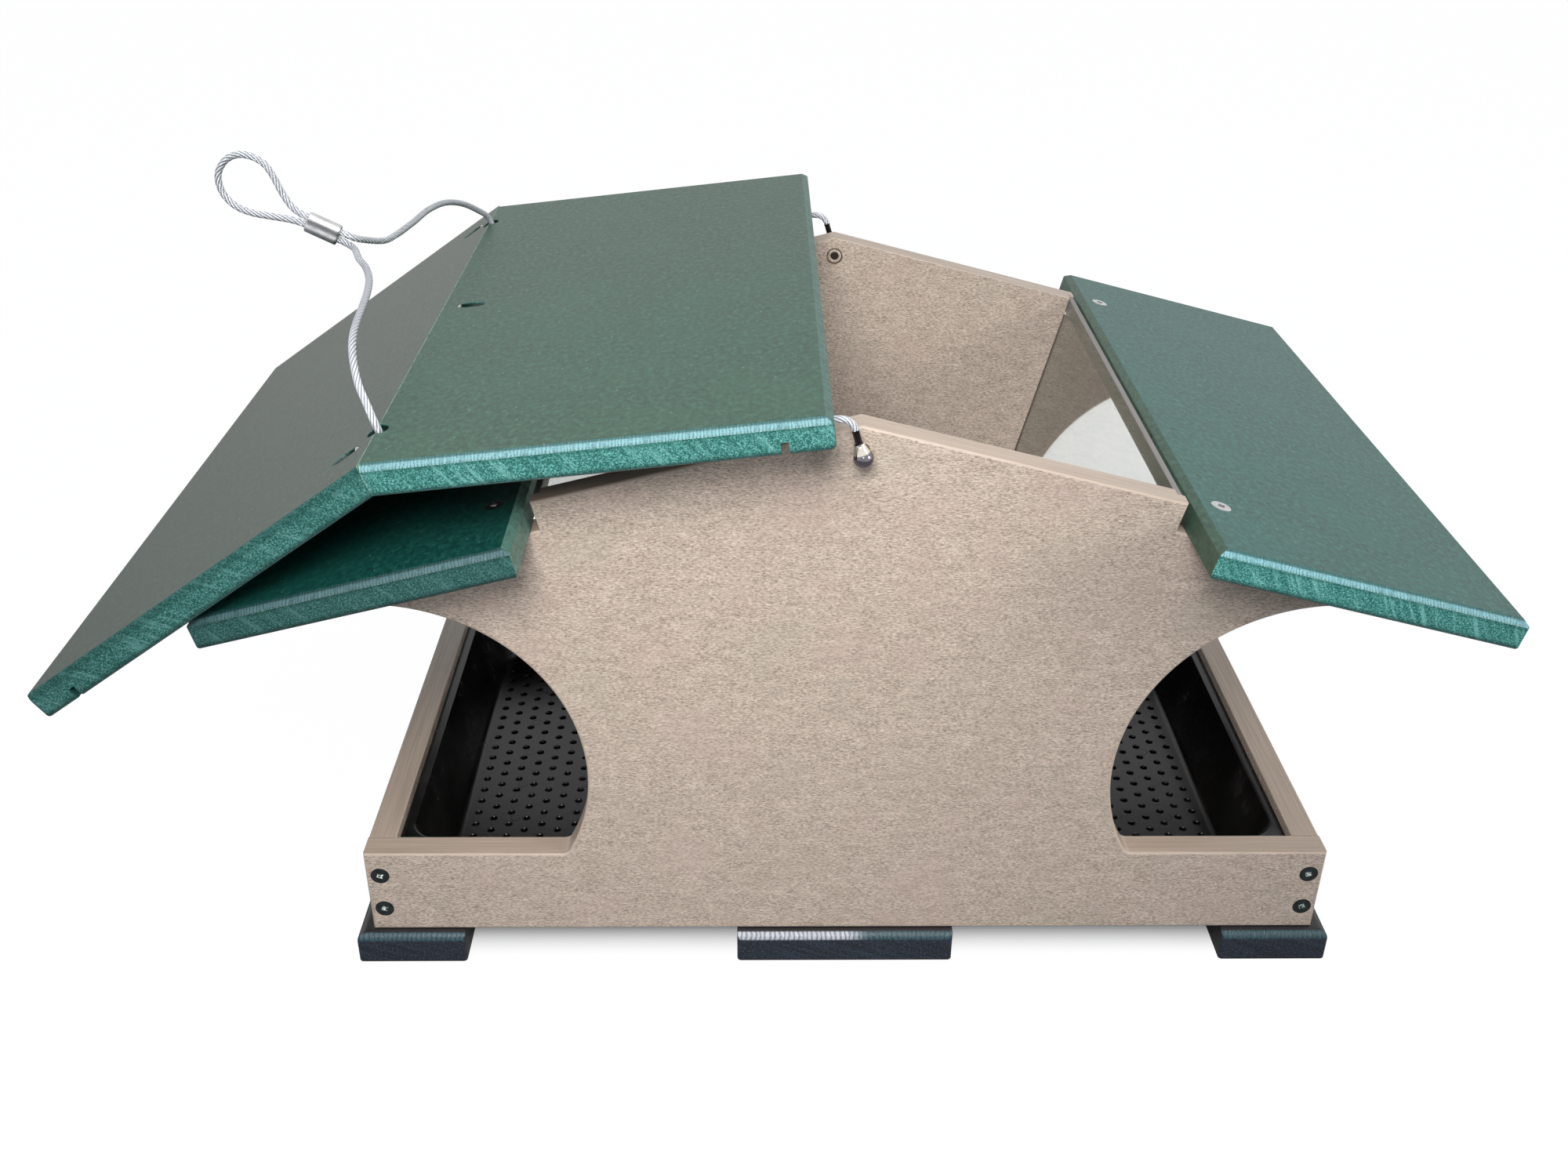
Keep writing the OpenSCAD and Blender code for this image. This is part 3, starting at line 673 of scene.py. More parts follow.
def anchor_chrome():
    material, wire = start_finish("chrome_anchor")
    place, (_, _, h) = spot(wire, SLEEVE_LEAN, (0, 0, ANCHOR_Z))
    wear = noise(wire, place, 1.6, 3.0)
    shank = h.ramp(CONE_TOP - 0.1, CONE_TOP + 0.1)
    streak = noise(wire, place, (0.5, 0.5, 9.0), 1.0)
    # The ball's darker chrome is a painted reflection: it stands in for the dark things round it.
    base = wear.mix((96, 92, 98), (150, 146, 152)).coats(
        (h.ramp(2.0, 2.8), (232, 226, 214)), (shank, streak.ramp(0.4, 0.6).mix((30, 26, 30), (92, 78, 76))))
    return shaded(wire, material, {"Base Color": base, "Metallic": 1.0, "Roughness": 0.07 + 0.05 * wear + 0.1 * shank},
                  [(wear, 0.05)])


ANCHOR_FINISH = anchor_chrome()

# %% [markdown]
# ## Wire rope
# A wire rope is six strands laid round a core in a long screw. Its section is a circle with six
# lobes, and the section turns as it goes along. The route's points come from the CAD source; a
# smooth curve through them gives a ring every half millimetre, and each ring is carried to the next
# without a twist of its own, so that only the lay of the rope turns it.


# %% Smooth curve through a route's points
def step_lengths(line):
    """The distance from each point of a line to the next."""
    return np.linalg.norm(np.diff(line, axis=0), axis=1)


def smooth_route(points, step):
    """Centripetal Catmull-Rom curve through the points, sampled at equal steps of its length."""
    p = np.asarray(points, float)
    p = np.concatenate([[2 * p[0] - p[1]], p, [2 * p[-1] - p[-2]]])
    knots = np.concatenate([[0], np.cumsum(np.sqrt(step_lengths(p)))])
    t = np.linspace(knots[1], knots[-2], 60 * len(points))
    i = np.clip(np.searchsorted(knots, t, side="right") - 1, 1, len(p) - 3)
    t = t[:, None]
    curves = [p[i + k] for k in (-1, 0, 1, 2)]
    # Each round goes straight from one curve to the next, between two knots.
    for spans in (((-1, 0), (0, 1), (1, 2)), ((-1, 1), (0, 2)), ((0, 1),)):
        ends = [(knots[i + first][:, None], knots[i + last][:, None]) for first, last in spans]
        curves = [(high - t) / (high - low) * before + (t - low) / (high - low) * after
                  for before, after, (low, high) in zip(curves, curves[1:], ends)]
    curve = curves[0]
    along = np.concatenate([[0], np.cumsum(step_lengths(curve))])
    even = np.linspace(0, along[-1], int(along[-1] / step) + 2)
    return np.stack([np.interp(even, along, curve[:, k]) for k in range(3)], axis=1), even


def carried_frames(line):
    """Directions along a line, and a pair square to each that turns as little as it can."""
    along = np.gradient(line, axis=0)
    along /= np.linalg.norm(along, axis=1, keepdims=True)
    u = np.empty_like(along)
    last = np.array([0.2, 1.0, 0.1])
    for i, direction in enumerate(along):
        last = last - np.dot(last, direction) * direction
        last /= np.linalg.norm(last)
        u[i] = last
    return u, np.cross(along, u)


# %% A rope's skin
CABLE_D = 3.0
LAY = 17.0
STRANDS = 6
RING, RING_STEP = 36, 0.5
LOBE_DEPTH = 0.22
SLEEVE_FADE = 10


def rope(name, points, coat):
    """Skin r(a) = R (1 - depth (1 - |cos 3b|)), with b the angle less one turn for each lay of length.

    Between the two lengths of coat a clear sleeve hides the strands."""
    line, even = smooth_route(points, RING_STEP)
    u, v = carried_frames(line)
    angle = np.arange(RING) / RING * 2 * np.pi
    lobes = 1 - np.abs(np.cos(STRANDS / 2 * (angle[None, :] - 2 * np.pi * even[:, None] / LAY)))
    sleeved = np.clip((even - coat[0]) / SLEEVE_FADE, 0, 1) * np.clip((coat[1] - even) / SLEEVE_FADE, 0, 1)
    r = CABLE_D / 2 * (1 - LOBE_DEPTH * (1 - 0.9 * sleeved)[:, None] * lobes ** 1.5)
    ring = (line[:, None] + (r * np.cos(angle))[..., None] * u[:, None]
            + (r * np.sin(angle))[..., None] * v[:, None])
    piece = plain_piece(name, [closed(ring)], crease=80)
    layer = piece.data.uv_layers.new(name="lay")
    corner = np.empty(len(piece.data.loops), np.int32)
    piece.data.loops.foreach_get("vertex_index", corner)
    across = (corner % RING) / RING
    # A face that closes the ring ends at a whole turn, not at zero.
    quads = np.array([f.loop_start for f in piece.data.polygons if f.loop_total == 4])[:, None] + np.arange(4)
    wrap = across[quads]
    across[quads] = np.where((np.ptp(wrap, axis=1) > 0.5)[:, None] & (wrap < 0.5), wrap + 1, wrap)
    layer.data.foreach_set("uv", np.stack([across, even[corner // RING]], axis=1).astype(np.float32).ravel())
    print(name, "is", round(float(even[-1])), "mm long")
    return piece, line


def wire_finish(name, coat):
    """Fine wires laid against the strands' own turn, from the rope's UV map, with painted shade in the valleys between
    wires, and a grey sleeve in between.
    """
    material, wire = start_finish(name)
    uv = wire.node("ShaderNodeUVMap", {"uv_map": "lay"})
    across, along, _ = split(wire, uv)
    strand = abs(wire.math("COSINE", (across - along * (1 / LAY)) * (np.pi * STRANDS)))
    fine = wire.math("SINE", (across + along * (1 / LAY)) * (2 * np.pi * STRANDS * 3)) * 0.5 + 0.5
    place, _ = spot(wire)
    wear = noise(wire, place, 5.0, 2.0)
    sleeved = along.ramp(coat[0], coat[0] + SLEEVE_FADE) * along.ramp(coat[1], coat[1] - SLEEVE_FADE)
    # Painted shade: the valleys between strands and between the fine wires are darker, also under the sleeve.
    base = strand.shades((0.05, (96, 98, 106)), (0.5, (206, 210, 216)), (0.9, (244, 246, 250))).coats(
        ((1 - fine) * 0.4, (140, 142, 150)), (sleeved, strand.mix((150, 151, 155), (186, 188, 192))))
    return shaded(wire, material, {
        "Base Color": base, "Metallic": 0.55 - 0.45 * sleeved, "Roughness": 0.28 + 0.15 * wear},
        [((fine + strand) * (1 - 0.9 * sleeved), 0.09)])


# %% [markdown]
# ## Cable
# The cable runs from each anchor up through its hole in the ridge, and both strands meet in one
# ferrule below a loop. It is a finished length of stiff wire with its own route. The strands bend where
# the cable leaves the anchors, as the cap is lifted. Here they are built where they lie, and the loop
# moves with the bail.

# %% Routes in millimetres
under_cap = [(-5.2, 272.6), (-7.2, 273.9), (-9.5, 274.3), (-14, 274.1), (-22, 273.2),
             (-40, 270.6), (-62, 267), (-86, 263), (-110, 258.3), (-134, 252.5), (-154, 247.8), (-165, 246),
             (-172, 246.5), (-176, 249), (-178.5, 253.3), (-182, 262.3)]
front_rise = [(-185.5, -140.7, 272), (-188.5, -138, 279), (-191.5, -134, 284.5), (-194.5, -126, 290.5),
              (-197, -115, 294.5), (-198.5, -101, 297), (-199, -87, 299), (-200, -72, 300.5),
              (-202.5, -57, 301.5), (-207, -43, 302), (-212.5, -31, 302), (-217.9, -15.3, 301.3),
              (-219.4, -12.7, 301.5), (-221.7, -10.9, 302.2)]
back_rise = [(-185.5, 140.7, 272), (-190, 134, 278), (-195, 122, 284.5), (-200, 104, 290), (-204, 80, 293),
             (-207, 54, 293.6), (-210, 30, 294.6), (-212, 14, 296.6), (-217, -4.8, 302.6), (-218.2, -7.3, 303.7),
             (-220.3, -9.1, 305)]
loop_bend = [(-240.4, 315.2), (-243.8, 318), (-246.4, 322), (-248.6, 327), (-250.5, 332), (-253.5, 337),
             (-258, 340), (-264, 341), (-270, 338.5), (-274, 332.5), (-273.5, 325), (-269, 319),
             (-262, 315.8), (-254, 314.3), (-246.5, 313), (-242, 311.8)]

FERRULE_AT = np.array([-232.0, -10.0, 309.0])
FERRULE_LEN, FERRULE_W, FERRULE_T = 14.5, 9.4, 6.2
FERRULE_LEAN = np.radians(26)
ferrule_along = np.array([-np.cos(FERRULE_LEAN), 0, np.sin(FERRULE_LEAN)])
ferrule_across = np.array([np.sin(FERRULE_LEAN), 0, np.cos(FERRULE_LEAN)])
SLEEVE_REACH = 12.2
STRAND_GAP, SLEEVE_LEAD, FERRULE_LEAD = 0.1, 1.2, 2.0


def in_ferrule(end, bore, below=0.0):
    """A point in one of the ferrule's two bores, at one of its ends or between them, or a little below."""
    return tuple(FERRULE_AT + (end * FERRULE_LEN / 2 - below) * ferrule_along
                 + bore * (CABLE_D / 2 + 0.25) * ferrule_across)


def past_sleeve(side, far):
    """A point in line with an anchor's sleeve, beyond its mouth."""
    reach = SLEEVE_REACH + far
    return -reach * np.sin(SLEEVE_LEAN), side * HOLE_Y, ANCHOR_Z + reach * np.cos(SLEEVE_LEAN)


def strand_points(side, rise, bore):
    """From the sleeve's mouth, under the cap, up through the ridge and to the ferrule."""
    return ([past_sleeve(side, STRAND_GAP), past_sleeve(side, SLEEVE_LEAD)]
            + [(x, side * HOLE_Y, z) for x, z in under_cap] + rise
            + [in_ferrule(-1, bore, FERRULE_LEAD), in_ferrule(-1, bore, STRAND_GAP)])


def cable_piece(name, node, points, coat, lay):
    """A rope with its finish. A taut one stays where it lies, and another moves with the bail."""
    piece, line = rope(name, points, coat)
    piece.data.materials.append(wire_finish(name + "_wire", coat))
    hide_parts(node)
    if lay == "taut":
        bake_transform(piece)
    else:
        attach(piece, "bail")


cable_piece("front_cable_strand", "front_strand", strand_points(-1, front_rise, -1), (246, 322), "taut")
cable_piece("back_cable_strand", "back_strand", strand_points(1, back_rise, 1), (190, 326), "taut")
cable_piece("hanging_cable_loop", "cable_loop",
            [in_ferrule(-0.5, 1), in_ferrule(1, 1)] + [(x, FERRULE_AT[1], z) for x, z in loop_bend]
            + [in_ferrule(1, -1), in_ferrule(-0.5, -1)], (-20, -10), "hanging")


# %% [markdown]
# ## Placing a finished piece
# Each piece says which finish it gets, which body it moves with, and which CAD node it stands for.


# %% One call for the four things that every piece needs
def finish_piece(piece, material, node, body="root"):
    piece.data.materials.clear()
    piece.data.materials.append(material)
    # Large faces keep their own direction, and only the small ones beside them are shaded round.
    piece.modifiers.new("flat_faces", "WEIGHTED_NORMAL").keep_sharp = True
    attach(piece, body)
    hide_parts(node)
    low, high = np.array(piece.bound_box)[[0, 6]]
    print(piece.name, "is", np.round((high - low) / MM).astype(int).tolist(), "mm,", len(piece.data.polygons), "faces")


# %% [markdown]
# ## Screws
# A flat-head screw is turned: a crisp rim, a cone down to the shank and a point. Its drive is a
# square recess, cut with a small block. The head lies a hair under the board's face.

# %% A flat-head screw, and where the screws are
DRIVE_W = 2.7
RAIL_SCREW_Z = (BASE_Z + 12.0, BASE_Z + 31.0)
RAIL_SCREW_X = INNER_X + BOARD / 2
EAVE_SCREW_S = EAVE_S + 12.0
PANEL_MID_Y = HALF_D - BOARD / 2
RUNNER_HALF, CENTRE_HALF, RUNNER_OUT, RUNNER_REACH = 25.0, 50.0, 7.5, 4.7
RUNNER_X = HALF_W + RUNNER_OUT - RUNNER_HALF
RUNNERS = {"left": -RUNNER_X, "centre": 0.0, "right": RUNNER_X}
RAIL_SCREW_LEN, EAVE_SCREW_LEN, RUNNER_SCREW_LEN = 38.0, 32.0, 34.0


def screw(place, length):
    """Head, cone and shank as radii at heights below the head's face."""
    radii = [1.0, 3.1, 3.9, 4.2, 4.3, 4.22, 2.1, 2.0, 2.0, 0.15]
    heights = [-0.02, -0.02, -0.04, -0.12, -0.3, -0.45, -2.5, -2.7, -length + 4, -length]
    return turned(place, radii, heights, 28)


def screw_hole(place, length):
    """The same screw, a little larger, and open above its head."""
    return turned(place, [4.42, 4.42, 2.12, 2.12, 0.2], [1.0, -0.05, -2.35, -length + 4, -length - 0.3], 28)


def rail_screw_places(end):
    return [about((x, end * HALF_D, z), (0, end, 0), (1, 0, 0.35 * x / RAIL_SCREW_X))
            for x in (-RAIL_SCREW_X, RAIL_SCREW_X) for z in RAIL_SCREW_Z]


def eave_screw_places(side):
    out = (side * np.sin(SLOPE), 0, np.cos(SLOPE))
    return [about(on_slope(side, EAVE_SCREW_S, y, 0.0), out, (0.4, 1, 0)) for y in (-PANEL_MID_Y, PANEL_MID_Y)]


def runner_screw_places(x):
    return [about((x, y, 0.6), (0, 0, -1), (1, 0.3, 0)) for y in (-PANEL_MID_Y, PANEL_MID_Y)]


def screw_set(name, places, length, material=COATED_FINISH):
    half = DRIVE_W / 2
    piece = plain_piece(f"{name}_screw_set", [screw(place, length) for place in places],
                        [block(place, (-half, -half, -1.3), (half, half, 1.0)) for place in places])
    finish_piece(piece, material, f"{name}_screws")


for name, end in ENDS.items():
    screw_set(f"{name}_rail", rail_screw_places(end), RAIL_SCREW_LEN)
for name, side in SIDES.items():
    screw_set(f"{name}_eave", eave_screw_places(side), EAVE_SCREW_LEN, STAINLESS_FINISH)
for name, x in RUNNERS.items():
    screw_set(f"{name}_runner", runner_screw_places(x), RUNNER_SCREW_LEN)

# %% [markdown]
# ## End panels
# A panel is one board, sawn to an outline: a full-width foot, an arch in each side, two wings and a low
# gable. Its edges are rounded by a router. The outline is drawn once, for the right half, and mirrored.
# A tan bush with a hole fills the recess behind each anchor's bolt.

# %% The outline of an end panel
ARCH_X, ARCH_Z, ARCH_R, RAIL_H, FILLET_R = 201.0, 86.0, 86.0, 43.5, 4.0
PANEL_H = PEAK_Z - BASE_Z


def panel_outline():
    """Points (x, z from the panel's lower edge), anticlockwise."""
    gable_z = PANEL_H - GABLE_HALF * np.tan(SLOPE)
    wing_z = PANEL_H - BOARD / np.cos(SLOPE) - HALF_W * np.tan(SLOPE)
    notch = (GABLE_HALF - BOARD * np.sin(SLOPE), gable_z - BOARD * np.cos(SLOPE))
    # The fillet touches the rail's top and the arch from the inside.
    across = np.sqrt((ARCH_R - FILLET_R) ** 2 - (ARCH_Z - RAIL_H - FILLET_R) ** 2)
    centre = (ARCH_X - across, RAIL_H + FILLET_R)
    touch = np.degrees(np.arctan2(centre[1] - ARCH_Z, centre[0] - ARCH_X)) % 360
    leave = np.degrees(np.arccos((HALF_W - ARCH_X) / ARCH_R))
    right_half = np.concatenate([
        [(HALF_W, 0), (HALF_W, RAIL_H)],
        arc(centre, FILLET_R, 270, touch, 6)[:-1],
        arc((ARCH_X, ARCH_Z), ARCH_R, touch, leave, 72),
        [(HALF_W, wing_z), notch, (GABLE_HALF, gable_z)]])
    return np.concatenate([right_half, [(0, PANEL_H)], right_half[::-1] * (-1, 1)])


# %% Panels with their grooves, screw holes and bushes
WINDOW_T, WINDOW_LEN, WINDOW_DROP, GROOVE_D = 3.0, 178.0, 0.8, 5.0
WINDOW_S = GABLE_S - WINDOW_T
for name, end in ENDS.items():
    panel = plate(lambda x, z, depth: stacked(x, end * (HALF_D - depth), BASE_Z + z), panel_outline(),
                  *rounded(BOARD, top=1.3, low=0.6))
    low_y, high_y = sorted((end * (INNER_Y - 1.0), end * (INNER_Y + GROOVE_D)))
    into = about((0, end * INNER_Y, ANCHOR_Z), (0, end, 0), (1, 0, 0))
    cuts = [block(partial(on_slope, side), (WINDOW_S - 0.2, low_y, -WINDOW_DROP - WINDOW_LEN - 0.2),
                  (WINDOW_S + WINDOW_T + 0.25, high_y, 30.0)) for side in SIDES.values()]
    cuts += [screw_hole(place, RAIL_SCREW_LEN) for place in rail_screw_places(end)]
    cuts.append(turned(into, [4.3, 4.3, 2.1, 2.1], [-1, 4.0, 4.0, 20.0]))
    finish_piece(plain_piece(f"{name}_end_board", [panel], cuts), PANEL_FINISH, f"{name}_panel")
    bush = plain_piece(f"{name}_anchor_bush", [turned(into, [3.1, 3.55, 3.7, 3.7], [0.1, 0.35, 0.8, 3.9])],
                       [turned(into, [2.5, 2.2, 2.2], [0.05, 0.4, 5.0])])
    finish_piece(bush, PANEL_FINISH, "anchor_nuts")

# %% [markdown]
# ## Rails, eave boards and runners
# These are plain boards with soft corners. The roof's boards have a routed bevel round their tops and
# rounded lower edges, and the runners have one broad rounding.

# %% Side rails
depths, soft = rounded(BOARD, top=1.0, low=0.5)
for name, side in SIDES.items():
    rail = board(lambda y, z, depth: stacked(side * (HALF_W + depth), y, z),
                 (-INNER_Y, INNER_Y, BASE_Z, BASE_Z + RAIL_H), 0.1, depths, (0, 0, 0.2, soft))
    finish_piece(plain_piece(f"{name}_side_board", [rail]), RAIL_FINISH, f"{name}_rail")

# %% Depths and insets of the roof's boards
ROOF_DEPTHS = np.array([0, 0.05, 0.25, 0.6, 1.1, 1.7, 2.2, 2.5, 3.2, 4.0, 11.4, 11.9, 12.3, 12.55, BOARD])
BEVELLED = (np.interp(ROOF_DEPTHS, [0, 0.05, 0.25, 2.2, 2.5], [3.2, 2.95, 2.7, 0.2, 0])
            + softened(ROOF_DEPTHS, BOARD, 0, 1.3))
ARRISED = softened(ROOF_DEPTHS, BOARD, 0.6, 1.3)
NOSED = softened(ROOF_DEPTHS, BOARD, 4.0, 2.2)
ROOF_CREASE = 25

# %% Eave boards
for name, side in SIDES.items():
    eave = board(partial(on_slope, side), (EAVE_S, EAVE_END_S, -EAVE_HALF_Y, EAVE_HALF_Y), (0.8, 0.6, 0.6, 1.6),
                 ROOF_DEPTHS, [BEVELLED] * 4)
    cuts = [screw_hole(place, EAVE_SCREW_LEN) for place in eave_screw_places(side)]
    finish_piece(plain_piece(f"{name}_eave_board", [eave], cuts, ROOF_CREASE),
                 EAVE_FINISH[side], f"{name}_eave")

# %% Runners
depths, broad = rounded(BASE_Z, top=4.6, low=0.8, steps=6)
plain = softened(depths, BASE_Z, top=0.4, low=0.8)
for name, x in RUNNERS.items():
    half = RUNNER_HALF if x else CENTRE_HALF
    runner = board(lambda x, y, h: stacked(x, y, BASE_Z + h),
                   (x - half, x + half, -HALF_D - RUNNER_REACH, HALF_D + RUNNER_REACH), 1.8, depths,
                   (broad if x < 0 else plain, broad if x > 0 else plain, broad, broad))
    cuts = [screw_hole(place, RUNNER_SCREW_LEN) for place in runner_screw_places(x)]
    finish_piece(plain_piece(f"{name}_runner_board", [runner], cuts), RUNNER_FINISH, f"{name}_runner")

# %% [markdown]
# ## Roof cap
# Two boards meet in a mitre at the ridge. The cable passes through two holes there, three screws sit in
# long pockets drilled at a slant, and a saw cut under each outer edge makes the rain drip off. The left
# board has a round nose and no bevel.

# %% Cap boards
DRIP_S, DRIP_HALF, DRIP_D, DRIP_REACH = CAP_W - 18.4, 1.5, 5.0, CAP_HALF_Y + 25.0
RIDGE_SCREWS = ((1, -HOLE_Y - 8.0), (1, HOLE_Y + 8.0), (-1, 0.0))
HOLE_R = 4.5


def ridge_axis(side, y):
    """Along the middle of one board, from just above the opposite board's top."""
    origin = on_cap(side, -7.0, y, -BOARD / 2)
    return about(origin, on_cap(side, -8.0, y, -BOARD / 2) - origin, (0, 1, 0))


cap_up = np.array([-np.sin(CAP_TILT), 0, np.cos(CAP_TILT)])
for name, side in SIDES.items():
    cap_place = partial(on_cap, side)
    low_end, ends = (NOSED, ARRISED) if side == LEFT else (BEVELLED, BEVELLED)
    cap = board(cap_place, (0, CAP_W, -CAP_HALF_Y, CAP_HALF_Y), (0.8, 0.1, 0.1, 2.4), ROOF_DEPTHS,
                (ROOF_DEPTHS * np.tan(SLOPE), low_end, ends, ends))
    cuts = [block(cap_place, (DRIP_S - DRIP_HALF, -DRIP_REACH, -BOARD - 1),
                  (DRIP_S + DRIP_HALF, DRIP_REACH, -BOARD + DRIP_D))]
    cuts += [turned(about((CAP_X, y, CAP_Z), cap_up, (0, 1, 0)), [HOLE_R, HOLE_R], [-30, 20], 40)
             for y in (-HOLE_Y, HOLE_Y)]
    cuts += [turned(ridge_axis(*spot_on_ridge), [3.3, 3.3, 2.1, 2.1], [24.0, -2.4, -2.4, -38.0])
             for spot_on_ridge in RIDGE_SCREWS]
    finish_piece(plain_piece(f"{name}_cap_board", [cap], cuts, ROOF_CREASE),
                 CAP_FINISH[side], f"cap_{name}_board", "cap")

# %% [markdown]
# ## Tray
# The tray is one moulded skin. Its side is a profile carried round a rectangle with round corners: rim,
# mouth, leaning wall and the curve into the floor. The floor is a flat net of triangles round a
# lattice of dimples, and each dimple is a small funnel down to its drain hole.

# %% The tray's rings
TRAY_WALL, TRAY_RIM, TRAY_DEPTH, TRAY_LEAN, TRAY_R = 2.2, 5.0, 37.0, 10.0, 12.0
RIM_HALF = np.array([INNER_X - 0.2, INNER_Y - 0.2])
MOUTH_HALF = RIM_HALF - TRAY_RIM
FLOOR_HALF = MOUTH_HALF - TRAY_LEAN
FLOOR_Z = BASE_Z + TRAY_WALL
RIM_Z = FLOOR_Z + TRAY_DEPTH
CURVE_R = 3.4


def round_ring(half, radius, z):
    """A rectangle with round corners at one height, with the same number of points at any size."""
    ring = soft_rectangle((-half[0], half[0], -half[1], half[1]), radius, 10)
    return stacked(ring[:, 0], ring[:, 1], z)


def wall_rings(out):
    """The tray's inner skin (out = 0) or outer skin (out = wall), from the mouth to the floor."""
    rings = []
    for share in np.linspace(0, 1, 7):
        half = MOUTH_HALF - TRAY_LEAN * share * 0.93 + out
        rings.append(round_ring(half, TRAY_R + out, RIM_Z - out * 0.2 - 1.2 - (TRAY_DEPTH - 4.6) * share))
    for sweep in np.radians(np.linspace(15, 90, 6)):
        half = FLOOR_HALF + out + 0.7 - CURVE_R * (1 - np.cos(sweep))
        z = FLOOR_Z - out + CURVE_R * (1 - np.sin(sweep))
        rings.append(round_ring(half, TRAY_R + out - 3.0 * (1 - np.cos(sweep)), z))
    return rings


inner = wall_rings(0.0)
outer = wall_rings(TRAY_WALL)
rim = [round_ring(MOUTH_HALF + 1.2, TRAY_R + 1.2, RIM_Z), round_ring(MOUTH_HALF + 0.35, TRAY_R + 0.35, RIM_Z - 0.35)]
lip = [round_ring(RIM_HALF - inset, 2.5, RIM_Z - depth)
       for depth, inset in ((TRAY_WALL, 0.4), (TRAY_WALL - 0.4, 0), (0.5, 0), (0.12, 0.15), (0, 0.5))]
under = [round_ring(MOUTH_HALF + TRAY_WALL, TRAY_R + TRAY_WALL, RIM_Z - TRAY_WALL)]
tray_side = np.array(outer[::-1] + under + lip + rim + inner)
print("tray side rings:", tray_side.shape)

# %% The floor's net of dimples
DRAIN_BORDER, SPOKES = 5.4, 12
# Radius and drop of a dimple's rings, from its rim to the hole.
DIMPLE = np.array([(2.05, 0.0), (1.8, 0.2), (1.55, 0.5)])


def lattice():
    """Middles of the holes: columns along Y, every second one moved by half a pitch."""
    reach = FLOOR_HALF - DRAIN_BORDER
    column = np.arange(-int(reach[0] / ROW_STEP), int(reach[0] / ROW_STEP) + 1)
    row = np.arange(-int(reach[1] / PITCH_Y) - 1, int(reach[1] / PITCH_Y) + 2)
    i, j = np.meshgrid(column, row, indexing="ij")
    x, y = (i * ROW_STEP).ravel(), ((j + 0.5 * (i % 2)) * PITCH_Y).ravel()
    keep = np.abs(y) <= reach[1]
    return np.stack([x[keep], y[keep]], axis=1)


middles = lattice()
spoke = np.arange(SPOKES) / SPOKES * 2 * np.pi
circle = np.stack([np.cos(spoke), np.sin(spoke)], axis=1)
border = inner[-1][:, :2]
flat = np.concatenate([border, (middles[:, None] + DIMPLE[0, 0] * circle).reshape(-1, 2)])
loops = [list(range(len(border)))] + [
    list(range(len(border) + k * SPOKES, len(border) + (k + 1) * SPOKES))[::-1] for k in range(len(middles))]
net = delaunay_2d_cdt([Vector(p) for p in flat.tolist()], [], loops, 2, 1e-6)
net_points = np.array([tuple(p) for p in net[0]])
net_faces = np.array([f for f in net[2] if len(f) == 3])
centre = net_points[net_faces].mean(axis=1)
nearest = np.min(np.linalg.norm(centre[:, None] - middles[None], axis=2), axis=1)
net_faces = net_faces[nearest > DIMPLE[0, 0] * 0.93]
print("floor net:", len(net_points), "points,", len(net_faces), "triangles,", len(middles), "holes")


def funnels(top, bottom):
    """Rings round every hole, down from the upper skin and then out to the lower skin."""
    radii = np.concatenate([DIMPLE[:, 0], DIMPLE[::-1, 0]])
    heights = np.concatenate([top - DIMPLE[:, 1], bottom + 0.5 * DIMPLE[::-1, 1]])
    xy = middles[:, None, None] + radii[:, None, None] * circle
    z = np.broadcast_to(heights[None, :, None], xy.shape[:3])
    cell = grid_faces(len(radii), SPOKES)
    faces = (cell[None] + (np.arange(len(middles)) * len(radii) * SPOKES)[:, None, None]).reshape(-1, 4)
    return np.concatenate([xy, z[..., None]], axis=-1).reshape(-1, 3), faces.tolist()


# %% One tray, welded
def tray_mesh():
    low = FLOOR_Z - TRAY_WALL
    skirt = np.array([stacked(*border.T, low), tray_side[0]])
    points, faces = joined(closed(tray_side, open_ends=True), closed(skirt, open_ends=True),
                           (stacked(*net_points.T, FLOOR_Z), net_faces.tolist()),
                           (stacked(*net_points.T, low), net_faces[:, ::-1].tolist()), funnels(FLOOR_Z, low))
    mesh = bpy.data.meshes.new("moulded_tray")
    mesh.from_pydata((points * MM).tolist(), [], faces)
    shape = bmesh.new()
    shape.from_mesh(mesh)
    bmesh.ops.remove_doubles(shape, verts=shape.verts, dist=1e-6)
    bmesh.ops.recalc_face_normals(shape, faces=shape.faces)
    print("tray: edges without two faces:", sum(1 for edge in shape.edges if len(edge.link_faces) != 2))
    shape.to_mesh(mesh)
    shape.free()
    smoothed(mesh, 30)
    return mesh


finish_piece(new_object("moulded_tray", tray_mesh()), TRAY_FINISH, "tray")

# %% [markdown]
# ## Windows
# Each window is a sheet of acrylic that stands in the panels' grooves, square to the slope. Its edges
# are broken with a tiny chamfer, which catches the light as a thin line.

# %% Windows
WINDOW_HALF_Y = INNER_Y + GROOVE_D - 0.2
CHAMFER = 0.25
for name, side in SIDES.items():
    window = board(lambda y, h, depth: on_slope(side, WINDOW_S - depth, y, h),
                   (-WINDOW_HALF_Y, WINDOW_HALF_Y, -WINDOW_DROP - WINDOW_LEN, -WINDOW_DROP), 0.3,
                   (0, CHAMFER, WINDOW_T - CHAMFER, WINDOW_T), [(CHAMFER, 0, 0, CHAMFER)] * 4)
    finish_piece(plain_piece(f"{name}_window_sheet", [window], crease=ROOF_CREASE),
                 WINDOW_FINISH[side], f"{name}_window")

# %% [markdown]
# ## Ferrule and anchors
# The ferrule is pressed round the two cables, so its section is two lobes with a shallow valley.
# Each anchor is turned from one profile, ball, cone and shank, and its cone has a small notch.


